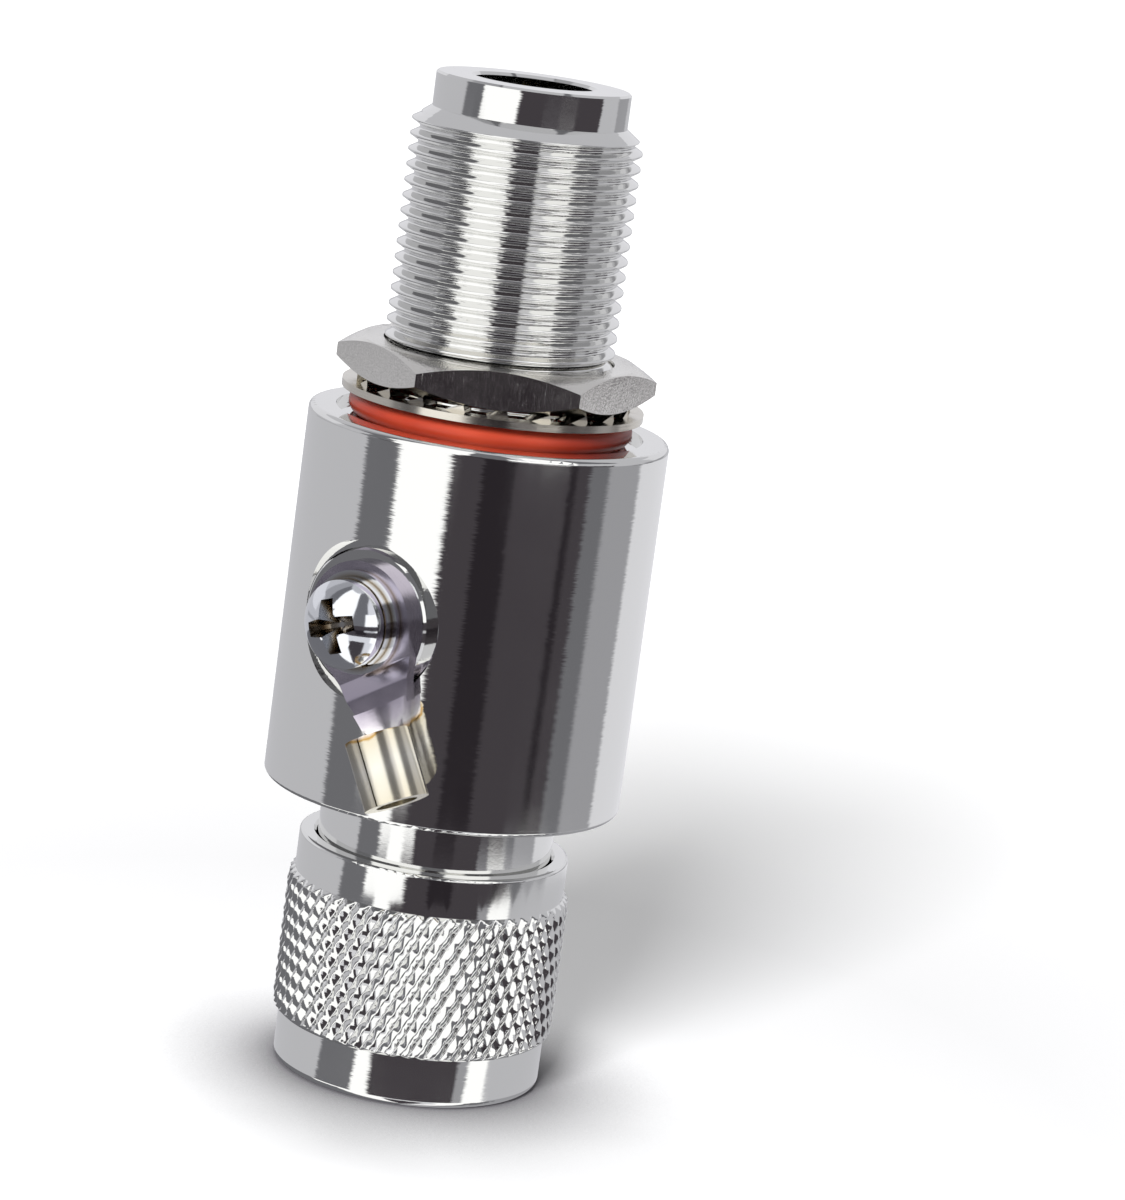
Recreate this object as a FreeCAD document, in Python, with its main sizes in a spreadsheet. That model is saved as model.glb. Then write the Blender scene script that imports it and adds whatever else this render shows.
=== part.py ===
import FreeCAD, Part
import math
import os
import re
import Sketcher

# Coax lightning arrestor, N male to N female, in millimetres and degrees.
# The common axis is Z, with 0 at the coupling nut's mouth. The ground screw faces -Y.
# Pieces on the screw's axis are drawn along their own Z, which is the distance from the common axis.

SIZES = {
    # lengths along the common axis
    "coupling_length": 16.5,
    "collar_gap": 3.9,
    "barrel_length": 26.1,
    "jack_length": 23.4,
    # housing, outside
    "barrel_radius": 12.45,
    "barrel_top_round": 0.45,
    "barrel_foot_round": 0.3,
    "recess_margin": 0.2,
    "recess_depth": 0.5,
    "thread_radius": 7.9,
    "thread_pitch": 1.0583,
    "thread_depth": 0.6,
    "thread_crest": 0.16,
    "thread_root": 0.12,
    "pilot_step": 1.25,
    "pilot_length": 2.4,
    "pilot_edge": 0.15,
    "lead_in_length": 0.95,
    # housing, inside
    "jack_play": 0.05,
    "jack_bore_edge": 0.2,
    "jack_bore_depth": 9.1,
    "line_bore_radius": 3.5,
    "land_length": 2.0,
    "cavity_radius": 4.6,
    "spigot_radius": 7.0,
    "spigot_length": 5.0,
    # spot face and gas tube well
    "screw_rise": 13.3,
    "spot_margin": 0.55,
    "spot_depth": 1.3,
    "well_radius": 4.0,
    "gland_width": 0.75,
    "gland_depth": 0.75,
    "fit_clearance": 0.03,
    # gas tube, its spring and its plug
    "rod_flat_depth": 0.12,
    "tube_length": 6.0,
    "tube_radius": 2.75,
    "tube_wall": 0.75,
    "tube_clearance": 0.15,
    "electrode_cap": 1.1,
    "electrode_nose_radius": 1.2,
    "spark_gap": 0.8,
    "spring_height": 0.6,
    "spring_thickness": 0.25,
    "spring_inner_radius": 1.4,
    "spring_inset": 0.15,
    "flange_lap": 0.15,
    "flange_thickness": 0.85,
    "spanner_hole_radius": 0.5,
    "spanner_hole_depth": 1.0,
    "spanner_hole_spread": 3.1,
    "plug_web": 0.75,
    # ground screw and its washers
    "shank_radius": 1.46,
    "thread_play": 0.05,
    "tip_gap": 0.15,
    "tip_chamfer": 0.3,
    "head_radius": 3.0,
    "head_height": 2.3,
    "head_side": 0.85,
    "head_dome_radius": 3.9,
    "head_flat_radius": 1.0,
    "cross_span": 3.9,
    "cross_width": 1.2,
    "cross_depth": 1.6,
    "cross_taper": 16.0,
    "washer_play": 0.14,
    "flat_washer_radius": 3.5,
    "flat_washer_thickness": 0.45,
    "split_washer_radius": 3.1,
    "split_washer_thickness": 0.65,
    "split_angle": 10.0,
    "split_turn": -55.0,
    # ring lug
    "lug_thickness": 0.8,
    "lug_ring_radius": 4.1,
    "lug_hole_radius": 2.15,
    "lug_turn": 31.5,
    "joggle_start": 3.6,
    "joggle_run": 1.4,
    "joggle_rise": 0.5,
    "crimp_reach": 7.9,
    "crimp_length": 4.7,
    "crimp_radius": 2.2,
    "crimp_tilt": 3.5,
    "seam_width": 0.1,
    "tongue_notch": 0.65,
    "gutter_rise": 0.4,
    "bend_radius": 0.6,
    "tongue_lap": 0.3,
    "barrel_lift": 0.02,
    "throat_length": 2.0,
    "throat_radius": 9.0,
    # coupling nut
    "coupling_thread_radius": 7.4,
    "thread_relief": 0.88,
    "coupling_wall": 1.17,
    "knurl_proud": 0.45,
    "knurl_root_proud": 0.05,
    "knurl_lap": 0.15,
    "knurl_count": 54,
    "knurl_rows": 9,
    "top_band_length": 2.8,
    "foot_band_step": 0.05,
    "foot_band_length": 3.5,
    "band_edge": 0.25,
    "foot_round": 0.5,
    "mouth_chamfer": 0.8,
    "coupling_thread_end": 9.6,
    "coupling_play": 0.08,
    "coupling_top_edge": 0.2,
    # plug body
    "sleeve_wall": 0.5,
    "sleeve_setback": 1.3,
    "sleeve_length": 9.6,
    "plug_shoulder": 1.1,
    "ring_offset": 1.3,
    "ring_height": 1.0,
    "ring_play": 0.05,
    "ring_reach": 0.6,
    "ring_gap_angle": 28.0,
    "gasket_inner_play": 0.7,
    "gasket_outer_play": 0.2,
    "gasket_thickness": 1.0,
    # inner line
    "contact_radius": 1.52,
    "contact_setback": 5.26,
    "pin_radius": 0.81,
    "pin_length": 4.4,
    "pin_nose": 0.45,
    "socket_radius": 0.83,
    "socket_depth": 6.0,
    "socket_slot": 0.25,
    "socket_edge": 0.2,
    "line_collar_radius": 2.2,
    "line_collar_length": 1.2,
    "stud_radius": 0.8,
    "stud_length": 3.0,
    "insulator_length": 6.0,
    "rod_flat_length": 7.0,
    # panel nut, lock washer and O-ring
    "hex_wall": 1.625,
    "hex_height": 2.65,
    "hex_face_inset": 0.075,
    "hex_chamfer_angle": 30.0,
    "hex_turn": 4.5,
    "thread_fit": 0.06,
    "lock_rim_width": 1.3,
    "lock_thickness": 0.5,
    "tooth_count": 20,
    "tooth_play": 0.08,
    "tooth_length": 1.12,
    "tooth_width": 1.4,
    "tooth_twist": 20.0,
    "o_ring_section": 1.85,
    "o_ring_stretch": 0.03,
    "o_ring_play": 0.02,
}

# Places and sizes that follow from the driving ones
DERIVED = {
    "barrel_foot": "coupling_length + collar_gap",
    "barrel_top": "barrel_foot + barrel_length",
    "jack_top": "barrel_top + jack_length",
    "recess_floor": "barrel_top - recess_depth",
    "pilot_foot": "jack_top - pilot_length",
    "thread_start": "lock_foot + thread_pitch / 2",
    "thread_top": "pilot_foot - lead_in_length",
    "jack_plane": "jack_top - jack_bore_depth",
    "bead_stop": "jack_plane - land_length",
    "spigot_top": "barrel_foot + spigot_length",
    "screw_height": "barrel_foot + screw_rise",
    "recess_radius": "lock_outer_radius + recess_margin",
    "pilot_radius": "thread_radius - pilot_step",
    "jack_bore_radius": "sleeve_radius + jack_play",
    "flange_radius": "well_radius + gland_width + flange_lap",
    "spot_radius": "flange_radius + spot_margin",
    "spot_floor": "barrel_radius - spot_depth",
    "tube_seat": "contact_radius - rod_flat_depth",
    "tube_bore": "tube_radius + tube_clearance",
    "tube_end": "tube_seat + tube_length",
    "spring_outer_radius": "tube_radius - spring_inset",
    "plug_inner_face": "tube_end + spring_height",
    "plug_face": "spot_floor + flange_thickness",
    "tapped_floor": "plug_inner_face + plug_web",
    "tapped_radius": "shank_radius + thread_play",
    "washer_hole_radius": "shank_radius + washer_play",
    "lug_face": "plug_face + lug_thickness",
    "throat_foot": "crimp_reach - throat_length * cos(crimp_tilt)",
    "tongue_half_width": "crimp_radius - tongue_notch",
    "tongue_taper": "(asin(lug_ring_radius / sqrt(crimp_reach^2 + tongue_half_width^2))"
                    " - atan(tongue_half_width / crimp_reach)) / 1 deg",
    "gutter_half_width": "tongue_half_width + throat_length * tan(tongue_taper) - barrel_lift",
    "flat_washer_face": "lug_face + flat_washer_thickness",
    "head_seat": "flat_washer_face + split_washer_thickness",
    "screw_tip": "tapped_floor + tip_gap",
    "collar_face": "sleeve_setback + sleeve_length",
    "plug_bead_stop": "collar_face + plug_shoulder",
    "ring_foot": "collar_face + ring_offset",
    "ring_top": "ring_foot + ring_height",
    "coupling_bore": "coupling_thread_radius + thread_relief",
    "collar_radius": "coupling_bore - coupling_play",
    "top_band_radius": "coupling_bore + coupling_wall",
    "knurl_radius": "top_band_radius + knurl_proud",
    "knurl_root_radius": "top_band_radius + knurl_root_proud",
    "knurl_top": "coupling_length - top_band_length",
    "foot_band_radius": "top_band_radius - foot_band_step",
    "sleeve_radius": "line_bore_radius + sleeve_wall",
    "gasket_inner_radius": "sleeve_radius + gasket_inner_play",
    "gasket_outer_radius": "coupling_thread_radius - gasket_outer_play",
    "pin_shoulder": "sleeve_setback + contact_setback",
    "pin_tip": "pin_shoulder - pin_length",
    "front_bead_end": "plug_bead_stop + insulator_length",
    "rod_foot": "front_bead_end + line_collar_length",
    "rear_bead_foot": "bead_stop - insulator_length",
    "rod_top": "rear_bead_foot - line_collar_length",
    "socket_face": "jack_plane + contact_setback",
    "o_ring_outer_radius": "thread_radius + o_ring_stretch + o_ring_section",
    "lock_foot": "recess_floor + o_ring_section + o_ring_play",
    "tooth_tip_radius": "thread_radius + tooth_play",
    "lock_inner_radius": "tooth_tip_radius + tooth_length",
    "lock_outer_radius": "lock_inner_radius + lock_rim_width",
    "tooth_height": "tooth_width * sin(tooth_twist) + lock_thickness * cos(tooth_twist)",
    "hex_foot": "lock_foot + tooth_height",
    "hex_top": "hex_foot + hex_height",
    "hex_flat_radius": "thread_radius + hex_wall",
    "hex_face_radius": "hex_flat_radius - hex_face_inset",
    "hex_corner_radius": "hex_flat_radius / cos(30)",
    "hex_chamfer_drop": "(hex_corner_radius - hex_face_radius) * tan(hex_chamfer_angle)",
}

document = FreeCAD.newDocument("coax_lightning_arrestor")
sheet = document.addObject("Spreadsheet::Sheet", "Sizes")
for row, (size_name, size_value) in enumerate(SIZES.items(), start=1):
    sheet.set(f"A{row}", size_name)
    sheet.set(f"B{row}", str(size_value))
    sheet.setAlias(f"B{row}", size_name)
document.recompute()

pieces = {}


def angle_safe(text):
    """Bare numbers inside sin, cos and tan count as degrees."""
    return re.sub(r"\b(sin|cos|tan)\(([^()]*)\)", r"\1((\2) * 1 deg)", text)


def value(text):
    """The number that an expression gives now."""
    return float(sheet.evalExpression(bound(text)))


def bound(text):
    """An expression that an object can be bound to."""
    def replace(match):
        word = match.group(0)
        if word in DERIVED:
            return f"({bound(DERIVED[word])})"
        if word in SIZES:
            return f"Sizes.{word}"
        return word
    return re.sub(r"[a-z][a-z_]*", replace, angle_safe(str(text)))


def origin_plane(body, role):
    for feature in body.Origin.OriginFeatures:
        if feature.Role == role:
            return feature
    raise ValueError(role)


def new_body(name):
    body = document.addObject("PartDesign::Body", name)
    body.Label = name
    return body


def new_sketch(body, name, role):
    sketch = body.newObject("Sketcher::SketchObject", name)
    sketch.AttachmentSupport = [(origin_plane(body, role), "")]
    sketch.MapMode = "FlatFace"
    return sketch


def pin_point(sketch, geometry, end, across, along):
    """Holds one end of a line or arc at a place given by two expressions."""
    for kind, text, axis in (("DistanceX", across, -2), ("DistanceY", along, -1)):
        if str(text) == "0":
            sketch.addConstraint(Sketcher.Constraint("PointOnObject", geometry, end, axis))
        else:
            index = sketch.addConstraint(Sketcher.Constraint(kind, -1, 1, geometry, end, value(text)))
            sketch.setExpression(f"Constraints[{index}]", bound(text))


def draw_outline(sketch, corners):
    """A closed outline through corners (across, along).

    A third entry is the radius of an arc to the next corner, with its centre to the left of the way
    there, or to the right if the radius starts with a minus sign.
    """
    points = [(value(corner[0]), value(corner[1])) for corner in corners]
    ends = []
    for index, corner in enumerate(corners):
        start = FreeCAD.Vector(*points[index], 0)
        end = FreeCAD.Vector(*points[(index + 1) % len(points)], 0)
        if len(corner) == 2:
            ends.append((sketch.addGeometry(Part.LineSegment(start, end), False), 1, 2))
            continue
        text = str(corner[2])
        right = text.startswith("-")
        radius = value(text.lstrip("-"))
        half = (end - start) / 2
        to_left = FreeCAD.Vector(-half.y, half.x, 0).normalize()
        height = math.sqrt(max(radius ** 2 - half.Length ** 2, 0.0))
        centre = start + half + to_left * (-height if right else height)
        first, last = (end, start) if right else (start, end)
        turn = [math.atan2(p.y - centre.y, p.x - centre.x) for p in (first, last)]
        circle = Part.Circle(centre, FreeCAD.Vector(0, 0, 1), radius)
        arc = sketch.addGeometry(Part.ArcOfCircle(circle, turn[0], turn[1]), False)
        ends.append((arc, 2, 1) if right else (arc, 1, 2))
        radius_index = sketch.addConstraint(Sketcher.Constraint("Radius", arc, radius))
        sketch.setExpression(f"Constraints[{radius_index}]", bound(text.lstrip("-")))
    for index, (geometry, first, last) in enumerate(ends):
        following = ends[(index + 1) % len(ends)]
        sketch.addConstraint(Sketcher.Constraint("Coincident", geometry, last, following[0], following[1]))
        pin_point(sketch, geometry, first, corners[index][0], corners[index][1])


def revolve(body, name, corners, angle="360"):
    """Turns an outline given as (radius, height) about the body's Z axis."""
    sketch = new_sketch(body, f"{name}_outline", "XZ_Plane")
    draw_outline(sketch, corners)
    turned = body.newObject("PartDesign::Revolution", name)
    turned.Profile = sketch
    turned.ReferenceAxis = (sketch, ["V_Axis"])
    turned.Angle = value(angle)
    if angle != "360":
        turned.setExpression("Angle", bound(angle))
    body.Tip = turned
    return turned


def turned_piece(name, corners, angle="360"):
    body = new_body(name)
    revolve(body, f"{name}_turned", corners, angle)
    return body


def pocket_down(body, name, top, depth, draw, taper="0"):
    """Cuts a sketch, which draw() fills, down from a height of the body's own Z."""
    sketch = new_sketch(body, f"{name}_outline", "XY_Plane")
    sketch.AttachmentOffset = FreeCAD.Placement(FreeCAD.Vector(0, 0, value(top)), FreeCAD.Rotation())
    sketch.setExpression("AttachmentOffset.Base.z", bound(top))
    draw(sketch)
    pocket = body.newObject("PartDesign::Pocket", name)
    pocket.Profile = sketch
    pocket.Length = value(depth)
    pocket.setExpression("Length", bound(depth))
    if taper != "0":
        pocket.TaperAngle = -value(taper)
        pocket.setExpression("TaperAngle", f"-({bound(taper)})")
    body.Tip = pocket
    return pocket


def draw_cross(sketch, span, width):
    """A plus sign with arms of the given width."""
    far = f"({span}) / 2"
    near = f"({width}) / 2"
    quarter = [(far, near), (near, near), (near, far)]
    corners = []
    for turn in range(4):
        for across, along in quarter:
            corners.append(((across, along), (f"-({along})", across),
                            (f"-({across})", f"-({along})"), (along, f"-({across})"))[turn])
    draw_outline(sketch, corners)


def draw_circle(sketch, across, along, radius):
    centre = FreeCAD.Vector(value(across), value(along), 0)
    circle = sketch.addGeometry(Part.Circle(centre, FreeCAD.Vector(0, 0, 1), value(radius)), False)
    pin_point(sketch, circle, 3, across, along)
    index = sketch.addConstraint(Sketcher.Constraint("Radius", circle, value(radius)))
    sketch.setExpression(f"Constraints[{index}]", bound(radius))


def on_screw_axis(item, turn="0"):
    """Stands a piece on the ground screw's axis, its own Z pointing away from the common axis."""
    lay = FreeCAD.Rotation(FreeCAD.Vector(1, 0, 0), 90)
    spin = FreeCAD.Rotation(FreeCAD.Vector(0, 0, 1), value(turn))
    item.Placement = FreeCAD.Placement(FreeCAD.Vector(0, 0, value("screw_height")), lay * spin)
    item.setExpression("Placement.Base.z", bound("screw_height"))


def keep(name, item):
    item.Label = name
    pieces[name] = item


def build_housing():
    body = turned_piece("housing", [
        ("spigot_radius", "barrel_foot"),
        ("barrel_radius - barrel_foot_round", "barrel_foot", "barrel_foot_round"),
        ("barrel_radius", "barrel_foot + barrel_foot_round"),
        ("barrel_radius", "barrel_top - barrel_top_round", "barrel_top_round"),
        ("barrel_radius - barrel_top_round", "barrel_top"),
        ("recess_radius", "barrel_top"),
        ("recess_radius", "recess_floor"),
        ("thread_radius", "recess_floor"),
        ("thread_radius", "thread_top"),
        ("pilot_radius", "pilot_foot"),
        ("pilot_radius", "jack_top - pilot_edge"),
        ("pilot_radius - pilot_edge", "jack_top"),
        ("jack_bore_radius + jack_bore_edge", "jack_top"),
        ("jack_bore_radius", "jack_top - jack_bore_edge"),
        ("jack_bore_radius", "jack_plane"),
        ("line_bore_radius", "jack_plane"),
        ("line_bore_radius", "bead_stop"),
        ("cavity_radius", "bead_stop"),
        ("cavity_radius", "spigot_top"),
        ("spigot_radius", "spigot_top"),
    ])
    # The well for the gas tube is turned about the screw's axis, from the spot face to the cavity
    sketch = new_sketch(body, "well_outline", "YZ_Plane")
    axis = sketch.addGeometry(Part.LineSegment(FreeCAD.Vector(0, value("screw_height"), 0),
                                               FreeCAD.Vector(value("barrel_radius"), value("screw_height"), 0)),
                              True)
    sketch.addConstraint(Sketcher.Constraint("Horizontal", axis))
    pin_point(sketch, axis, 1, "0", "screw_height")
    steps = [
        ("barrel_radius + 1", "0"),
        ("barrel_radius + 1", "spot_radius"),
        ("spot_floor", "spot_radius"),
        ("spot_floor", "well_radius + gland_width"),
        ("spot_floor - gland_depth", "well_radius + gland_width"),
        ("spot_floor - gland_depth", "well_radius"),
        ("plug_inner_face", "well_radius"),
        ("plug_inner_face", "tube_bore"),
        ("line_bore_radius", "tube_bore"),
        ("line_bore_radius", "0"),
    ]
    draw_outline(sketch, [(f"-({out})", f"screw_height + {wide}") for out, wide in steps])
    well = body.newObject("PartDesign::Groove", "well")
    well.Profile = sketch
    well.ReferenceAxis = (sketch, ["Axis0"])
    well.Angle = 360
    body.Tip = well
    # The neck's rolled thread starts above the seal and runs out through the lead-in
    groove = new_sketch(body, "thread_groove", "XZ_Plane")
    root = "thread_radius - thread_depth"
    mouth = "thread_radius + thread_root"
    half_root = "thread_root / 2"
    half_mouth = "(thread_pitch - thread_crest) / 2"
    draw_outline(groove, [
        (root, f"thread_start - {half_root}"),
        ("thread_radius", f"thread_start - {half_mouth}"),
        (mouth, f"thread_start - {half_mouth}"),
        (mouth, f"thread_start + {half_mouth}"),
        ("thread_radius", f"thread_start + {half_mouth}"),
        (root, f"thread_start + {half_root}"),
    ])
    thread = body.newObject("PartDesign::SubtractiveHelix", "thread")
    thread.Profile = groove
    thread.ReferenceAxis = (groove, ["V_Axis"])
    thread.Mode = "pitch-height-angle"
    for size, text in (("Pitch", "thread_pitch"), ("Height", "pilot_foot - thread_start")):
        setattr(thread, size, value(text))
        thread.setExpression(size, bound(text))
    body.Tip = thread
    keep("housing", body)


def build_plug_body():
    keep("plug_body", turned_piece("plug_body", [
        ("line_bore_radius", "sleeve_setback"),
        ("sleeve_radius - 0.15", "sleeve_setback"),
        ("sleeve_radius", "sleeve_setback + 0.15"),
        ("sleeve_radius", "collar_face"),
        ("collar_radius - 0.2", "collar_face"),
        ("collar_radius", "collar_face + 0.2"),
        ("collar_radius", "ring_foot - ring_play"),
        ("collar_radius - ring_reach - ring_play", "ring_foot - ring_play"),
        ("collar_radius - ring_reach - ring_play", "ring_top + ring_play"),
        ("collar_radius", "ring_top + ring_play"),
        ("collar_radius", "barrel_foot"),
        ("spigot_radius - fit_clearance", "barrel_foot"),
        ("spigot_radius - fit_clearance", "spigot_top"),
        ("cavity_radius", "spigot_top"),
        ("cavity_radius", "plug_bead_stop"),
        ("line_bore_radius", "plug_bead_stop"),
    ]))


def knurl_shape():
    """A drum of low pyramids between two crossing sets of grooves, each row half a step from the last."""
    count, rows = round(value("knurl_count")), round(value("knurl_rows"))
    crest, root = value("knurl_radius"), value("knurl_root_radius")
    foot = value("foot_band_length")
    row_height = (value("knurl_top") - foot) / rows

    def point(column, row):
        radius = root if (column + row) % 2 else crest
        if radius == crest and row in (0, rows):
            radius -= value("band_edge")
        turn = math.pi * column / count
        return FreeCAD.Vector(radius * math.cos(turn), radius * math.sin(turn), foot + row * row_height)

    faces = []
    for row in range(rows + 1):
        for column in range(row % 2, 2 * count, 2):
            for side, level in ((-1, -1), (-1, 1), (1, 1), (1, -1)):
                if 0 <= row + level <= rows:
                    corners = [point(column, row), point(column + side, row), point(column, row + level)]
                    if side != level:
                        corners.reverse()
                    faces.append(Part.Face(Part.makePolygon(corners + corners[:1])))
    for row in (0, rows):
        rim = [point(column, row) for column in range(2 * count)]
        faces.append(Part.Face(Part.makePolygon(rim + rim[:1])))
    shell = Part.makeShell(faces)
    shell.sewShape()
    drum = Part.makeSolid(shell)
    return drum if drum.Volume > 0 else drum.reversed()


def build_coupling_nut():
    groove = "coupling_bore + ring_reach + ring_play"
    blank = turned_piece("coupling_nut_blank", [
        ("coupling_thread_radius + mouth_chamfer", "0"),
        ("foot_band_radius - foot_round", "0", "foot_round"),
        ("foot_band_radius", "foot_round"),
        ("foot_band_radius", "knurl_top"),
        ("top_band_radius", "knurl_top"),
        ("top_band_radius", "coupling_length - band_edge", "band_edge"),
        ("top_band_radius - band_edge", "coupling_length"),
        ("coupling_bore + coupling_top_edge", "coupling_length"),
        ("coupling_bore", "coupling_length - coupling_top_edge"),
        ("coupling_bore", "ring_top + ring_play"),
        (groove, "ring_top + ring_play"),
        (groove, "ring_foot - ring_play"),
        ("coupling_bore", "ring_foot - ring_play"),
        ("coupling_bore", "coupling_thread_end"),
        ("coupling_thread_radius", "coupling_thread_end"),
        ("coupling_thread_radius", "mouth_chamfer"),
    ])
    drum = document.addObject("Part::Feature", "knurl_drum")
    drum.Shape = knurl_shape()
    hollow = cylinder("knurl_hollow", "foot_band_radius - knurl_lap", "coupling_length")
    keep("coupling_nut", join("Fuse", "coupling_nut", blank, join("Cut", "knurl_ring", drum, hollow)))


def build_retaining_ring():
    body = turned_piece("retaining_ring", [
        ("collar_radius - ring_reach", "ring_foot"),
        ("coupling_bore + ring_reach", "ring_foot"),
        ("coupling_bore + ring_reach", "ring_top"),
        ("collar_radius - ring_reach", "ring_top"),
    ], "360 - ring_gap_angle")
    keep("retaining_ring", body)


def build_plug_gasket():
    keep("plug_gasket", turned_piece("plug_gasket", [
        ("gasket_inner_radius", "collar_face - gasket_thickness"),
        ("gasket_outer_radius", "collar_face - gasket_thickness"),
        ("gasket_outer_radius", "collar_face"),
        ("gasket_inner_radius", "collar_face"),
    ]))


def build_line():
    keep("pin_contact", turned_piece("pin_contact", [
        ("0", "pin_tip"),
        ("pin_radius - pin_nose", "pin_tip", "pin_nose"),
        ("pin_radius", "pin_tip + pin_nose"),
        ("pin_radius", "pin_shoulder"),
        ("contact_radius", "pin_shoulder"),
        ("contact_radius", "front_bead_end"),
        ("line_collar_radius", "front_bead_end"),
        ("line_collar_radius", "rod_foot"),
        ("stud_radius", "rod_foot"),
        ("stud_radius", "rod_foot - stud_length"),
        ("0", "rod_foot - stud_length"),
    ]))
    rod = turned_piece("centre_rod", [
        ("0", "rod_foot - stud_length + fit_clearance"),
        ("stud_radius - fit_clearance", "rod_foot - stud_length + fit_clearance"),
        ("stud_radius - fit_clearance", "rod_foot"),
        ("contact_radius", "rod_foot"),
        ("contact_radius", "rod_top"),
        ("stud_radius - fit_clearance", "rod_top"),
        ("stud_radius - fit_clearance", "rod_top + stud_length - fit_clearance"),
        ("0", "rod_top + stud_length - fit_clearance"),
    ])
    # The flat that the gas tube's inner electrode presses on
    sketch = new_sketch(rod, "rod_flat_outline", "XZ_Plane")
    low = "screw_height - rod_flat_length / 2"
    high = "screw_height + rod_flat_length / 2"
    wide = "contact_radius + 0.5"
    draw_outline(sketch, [(f"-({wide})", low), (wide, low), (wide, high), (f"-({wide})", high)])
    sketch.AttachmentOffset = FreeCAD.Placement(FreeCAD.Vector(0, 0, value("tube_seat")), FreeCAD.Rotation())
    sketch.setExpression("AttachmentOffset.Base.z", bound("tube_seat"))
    flat = rod.newObject("PartDesign::Pocket", "rod_flat")
    flat.Profile = sketch
    flat.Length = value("contact_radius")
    flat.setExpression("Length", bound("contact_radius"))
    flat.Reversed = True
    rod.Tip = flat
    keep("centre_rod", rod)
    socket = turned_piece("socket_contact", [
        ("0", "rod_top + stud_length"),
        ("stud_radius", "rod_top + stud_length"),
        ("stud_radius", "rod_top"),
        ("line_collar_radius", "rod_top"),
        ("line_collar_radius", "rear_bead_foot"),
        ("contact_radius", "rear_bead_foot"),
        ("contact_radius", "socket_face - socket_edge"),
        ("contact_radius - socket_edge", "socket_face"),
        ("socket_radius + socket_edge", "socket_face"),
        ("socket_radius", "socket_face - socket_edge"),
        ("socket_radius", "socket_face - socket_depth"),
        ("0", "socket_face - socket_depth"),
    ])
    pocket_down(socket, "contact_slots", "socket_face", "socket_depth - 1",
                lambda sketch: draw_cross(sketch, "contact_radius * 3", "socket_slot"))
    keep("socket_contact", socket)


def build_insulators():
    for name, foot in (("front_insulator", "plug_bead_stop"), ("rear_insulator", "rear_bead_foot")):
        keep(name, turned_piece(name, [
            ("contact_radius", foot),
            ("cavity_radius", foot),
            ("cavity_radius", f"{foot} + insulator_length"),
            ("contact_radius", f"{foot} + insulator_length"),
        ]))


def build_gas_tube():
    inner_cap = "tube_seat + electrode_cap"
    outer_cap = "tube_end - electrode_cap"
    middle = "tube_seat + tube_length / 2"
    shapes = {
        "gas_tube_inner_electrode": [
            ("0", "tube_seat"),
            ("tube_radius", "tube_seat"),
            ("tube_radius", inner_cap),
            ("electrode_nose_radius", inner_cap),
            ("electrode_nose_radius", f"{middle} - spark_gap / 2"),
            ("0", f"{middle} - spark_gap / 2"),
        ],
        "gas_tube_ceramic": [
            ("tube_radius - tube_wall", inner_cap),
            ("tube_radius", inner_cap),
            ("tube_radius", outer_cap),
            ("tube_radius - tube_wall", outer_cap),
        ],
        "gas_tube_outer_electrode": [
            ("0", f"{middle} + spark_gap / 2"),
            ("electrode_nose_radius", f"{middle} + spark_gap / 2"),
            ("electrode_nose_radius", outer_cap),
            ("tube_radius", outer_cap),
            ("tube_radius", "tube_end"),
            ("0", "tube_end"),
        ],
        "gas_tube_spring": [
            ("spring_outer_radius", "tube_end"),
            ("spring_outer_radius", "tube_end + spring_thickness"),
            ("spring_inner_radius", "plug_inner_face"),
            ("spring_inner_radius", "plug_inner_face - spring_thickness"),
        ],
    }
    for name, corners in shapes.items():
        body = turned_piece(name, corners)
        on_screw_axis(body)
        keep(name, body)


def build_gas_tube_plug():
    body = turned_piece("gas_tube_plug", [
        ("0", "plug_inner_face"),
        ("well_radius - fit_clearance", "plug_inner_face"),
        ("well_radius - fit_clearance", "spot_floor"),
        ("flange_radius", "spot_floor"),
        ("flange_radius", "plug_face - 0.15"),
        ("flange_radius - 0.15", "plug_face"),
        ("tapped_radius", "plug_face"),
        ("tapped_radius", "tapped_floor"),
        ("0", "tapped_floor"),
    ])
    def spanner_holes(sketch):
        draw_circle(sketch, "spanner_hole_spread", "0", "spanner_hole_radius")
        draw_circle(sketch, "-(spanner_hole_spread)", "0", "spanner_hole_radius")
    pocket_down(body, "spanner_holes", "plug_face", "spanner_hole_depth", spanner_holes)
    on_screw_axis(body)
    keep("gas_tube_plug", body)


def ring_solid(name, ring_radius, section_radius, height):
    """An O-ring: a torus about Z at the given height."""
    ring = document.addObject("Part::Torus", name)
    ring.setExpression("Radius1", bound(ring_radius))
    ring.setExpression("Radius2", bound(section_radius))
    ring.Placement = FreeCAD.Placement(FreeCAD.Vector(0, 0, value(height)), FreeCAD.Rotation())
    ring.setExpression("Placement.Base.z", bound(height))
    return ring


def build_seals():
    o_ring = ring_solid("panel_o_ring", "o_ring_outer_radius - o_ring_section / 2", "o_ring_section / 2",
                        "recess_floor + o_ring_section / 2")
    keep("panel_o_ring", o_ring)
    seal_section = "gland_width / 2 - 0.01"
    seal = ring_solid("plug_seal", "well_radius + gland_width / 2", seal_section, "0")
    seal.setExpression("Placement.Base.z", None)
    on_screw_axis(seal)
    seal.Placement.Base.y = -value("spot_floor - gland_depth / 2")
    seal.setExpression("Placement.Base.y", f"-({bound('spot_floor - gland_depth / 2')})")
    keep("plug_seal", seal)


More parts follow.
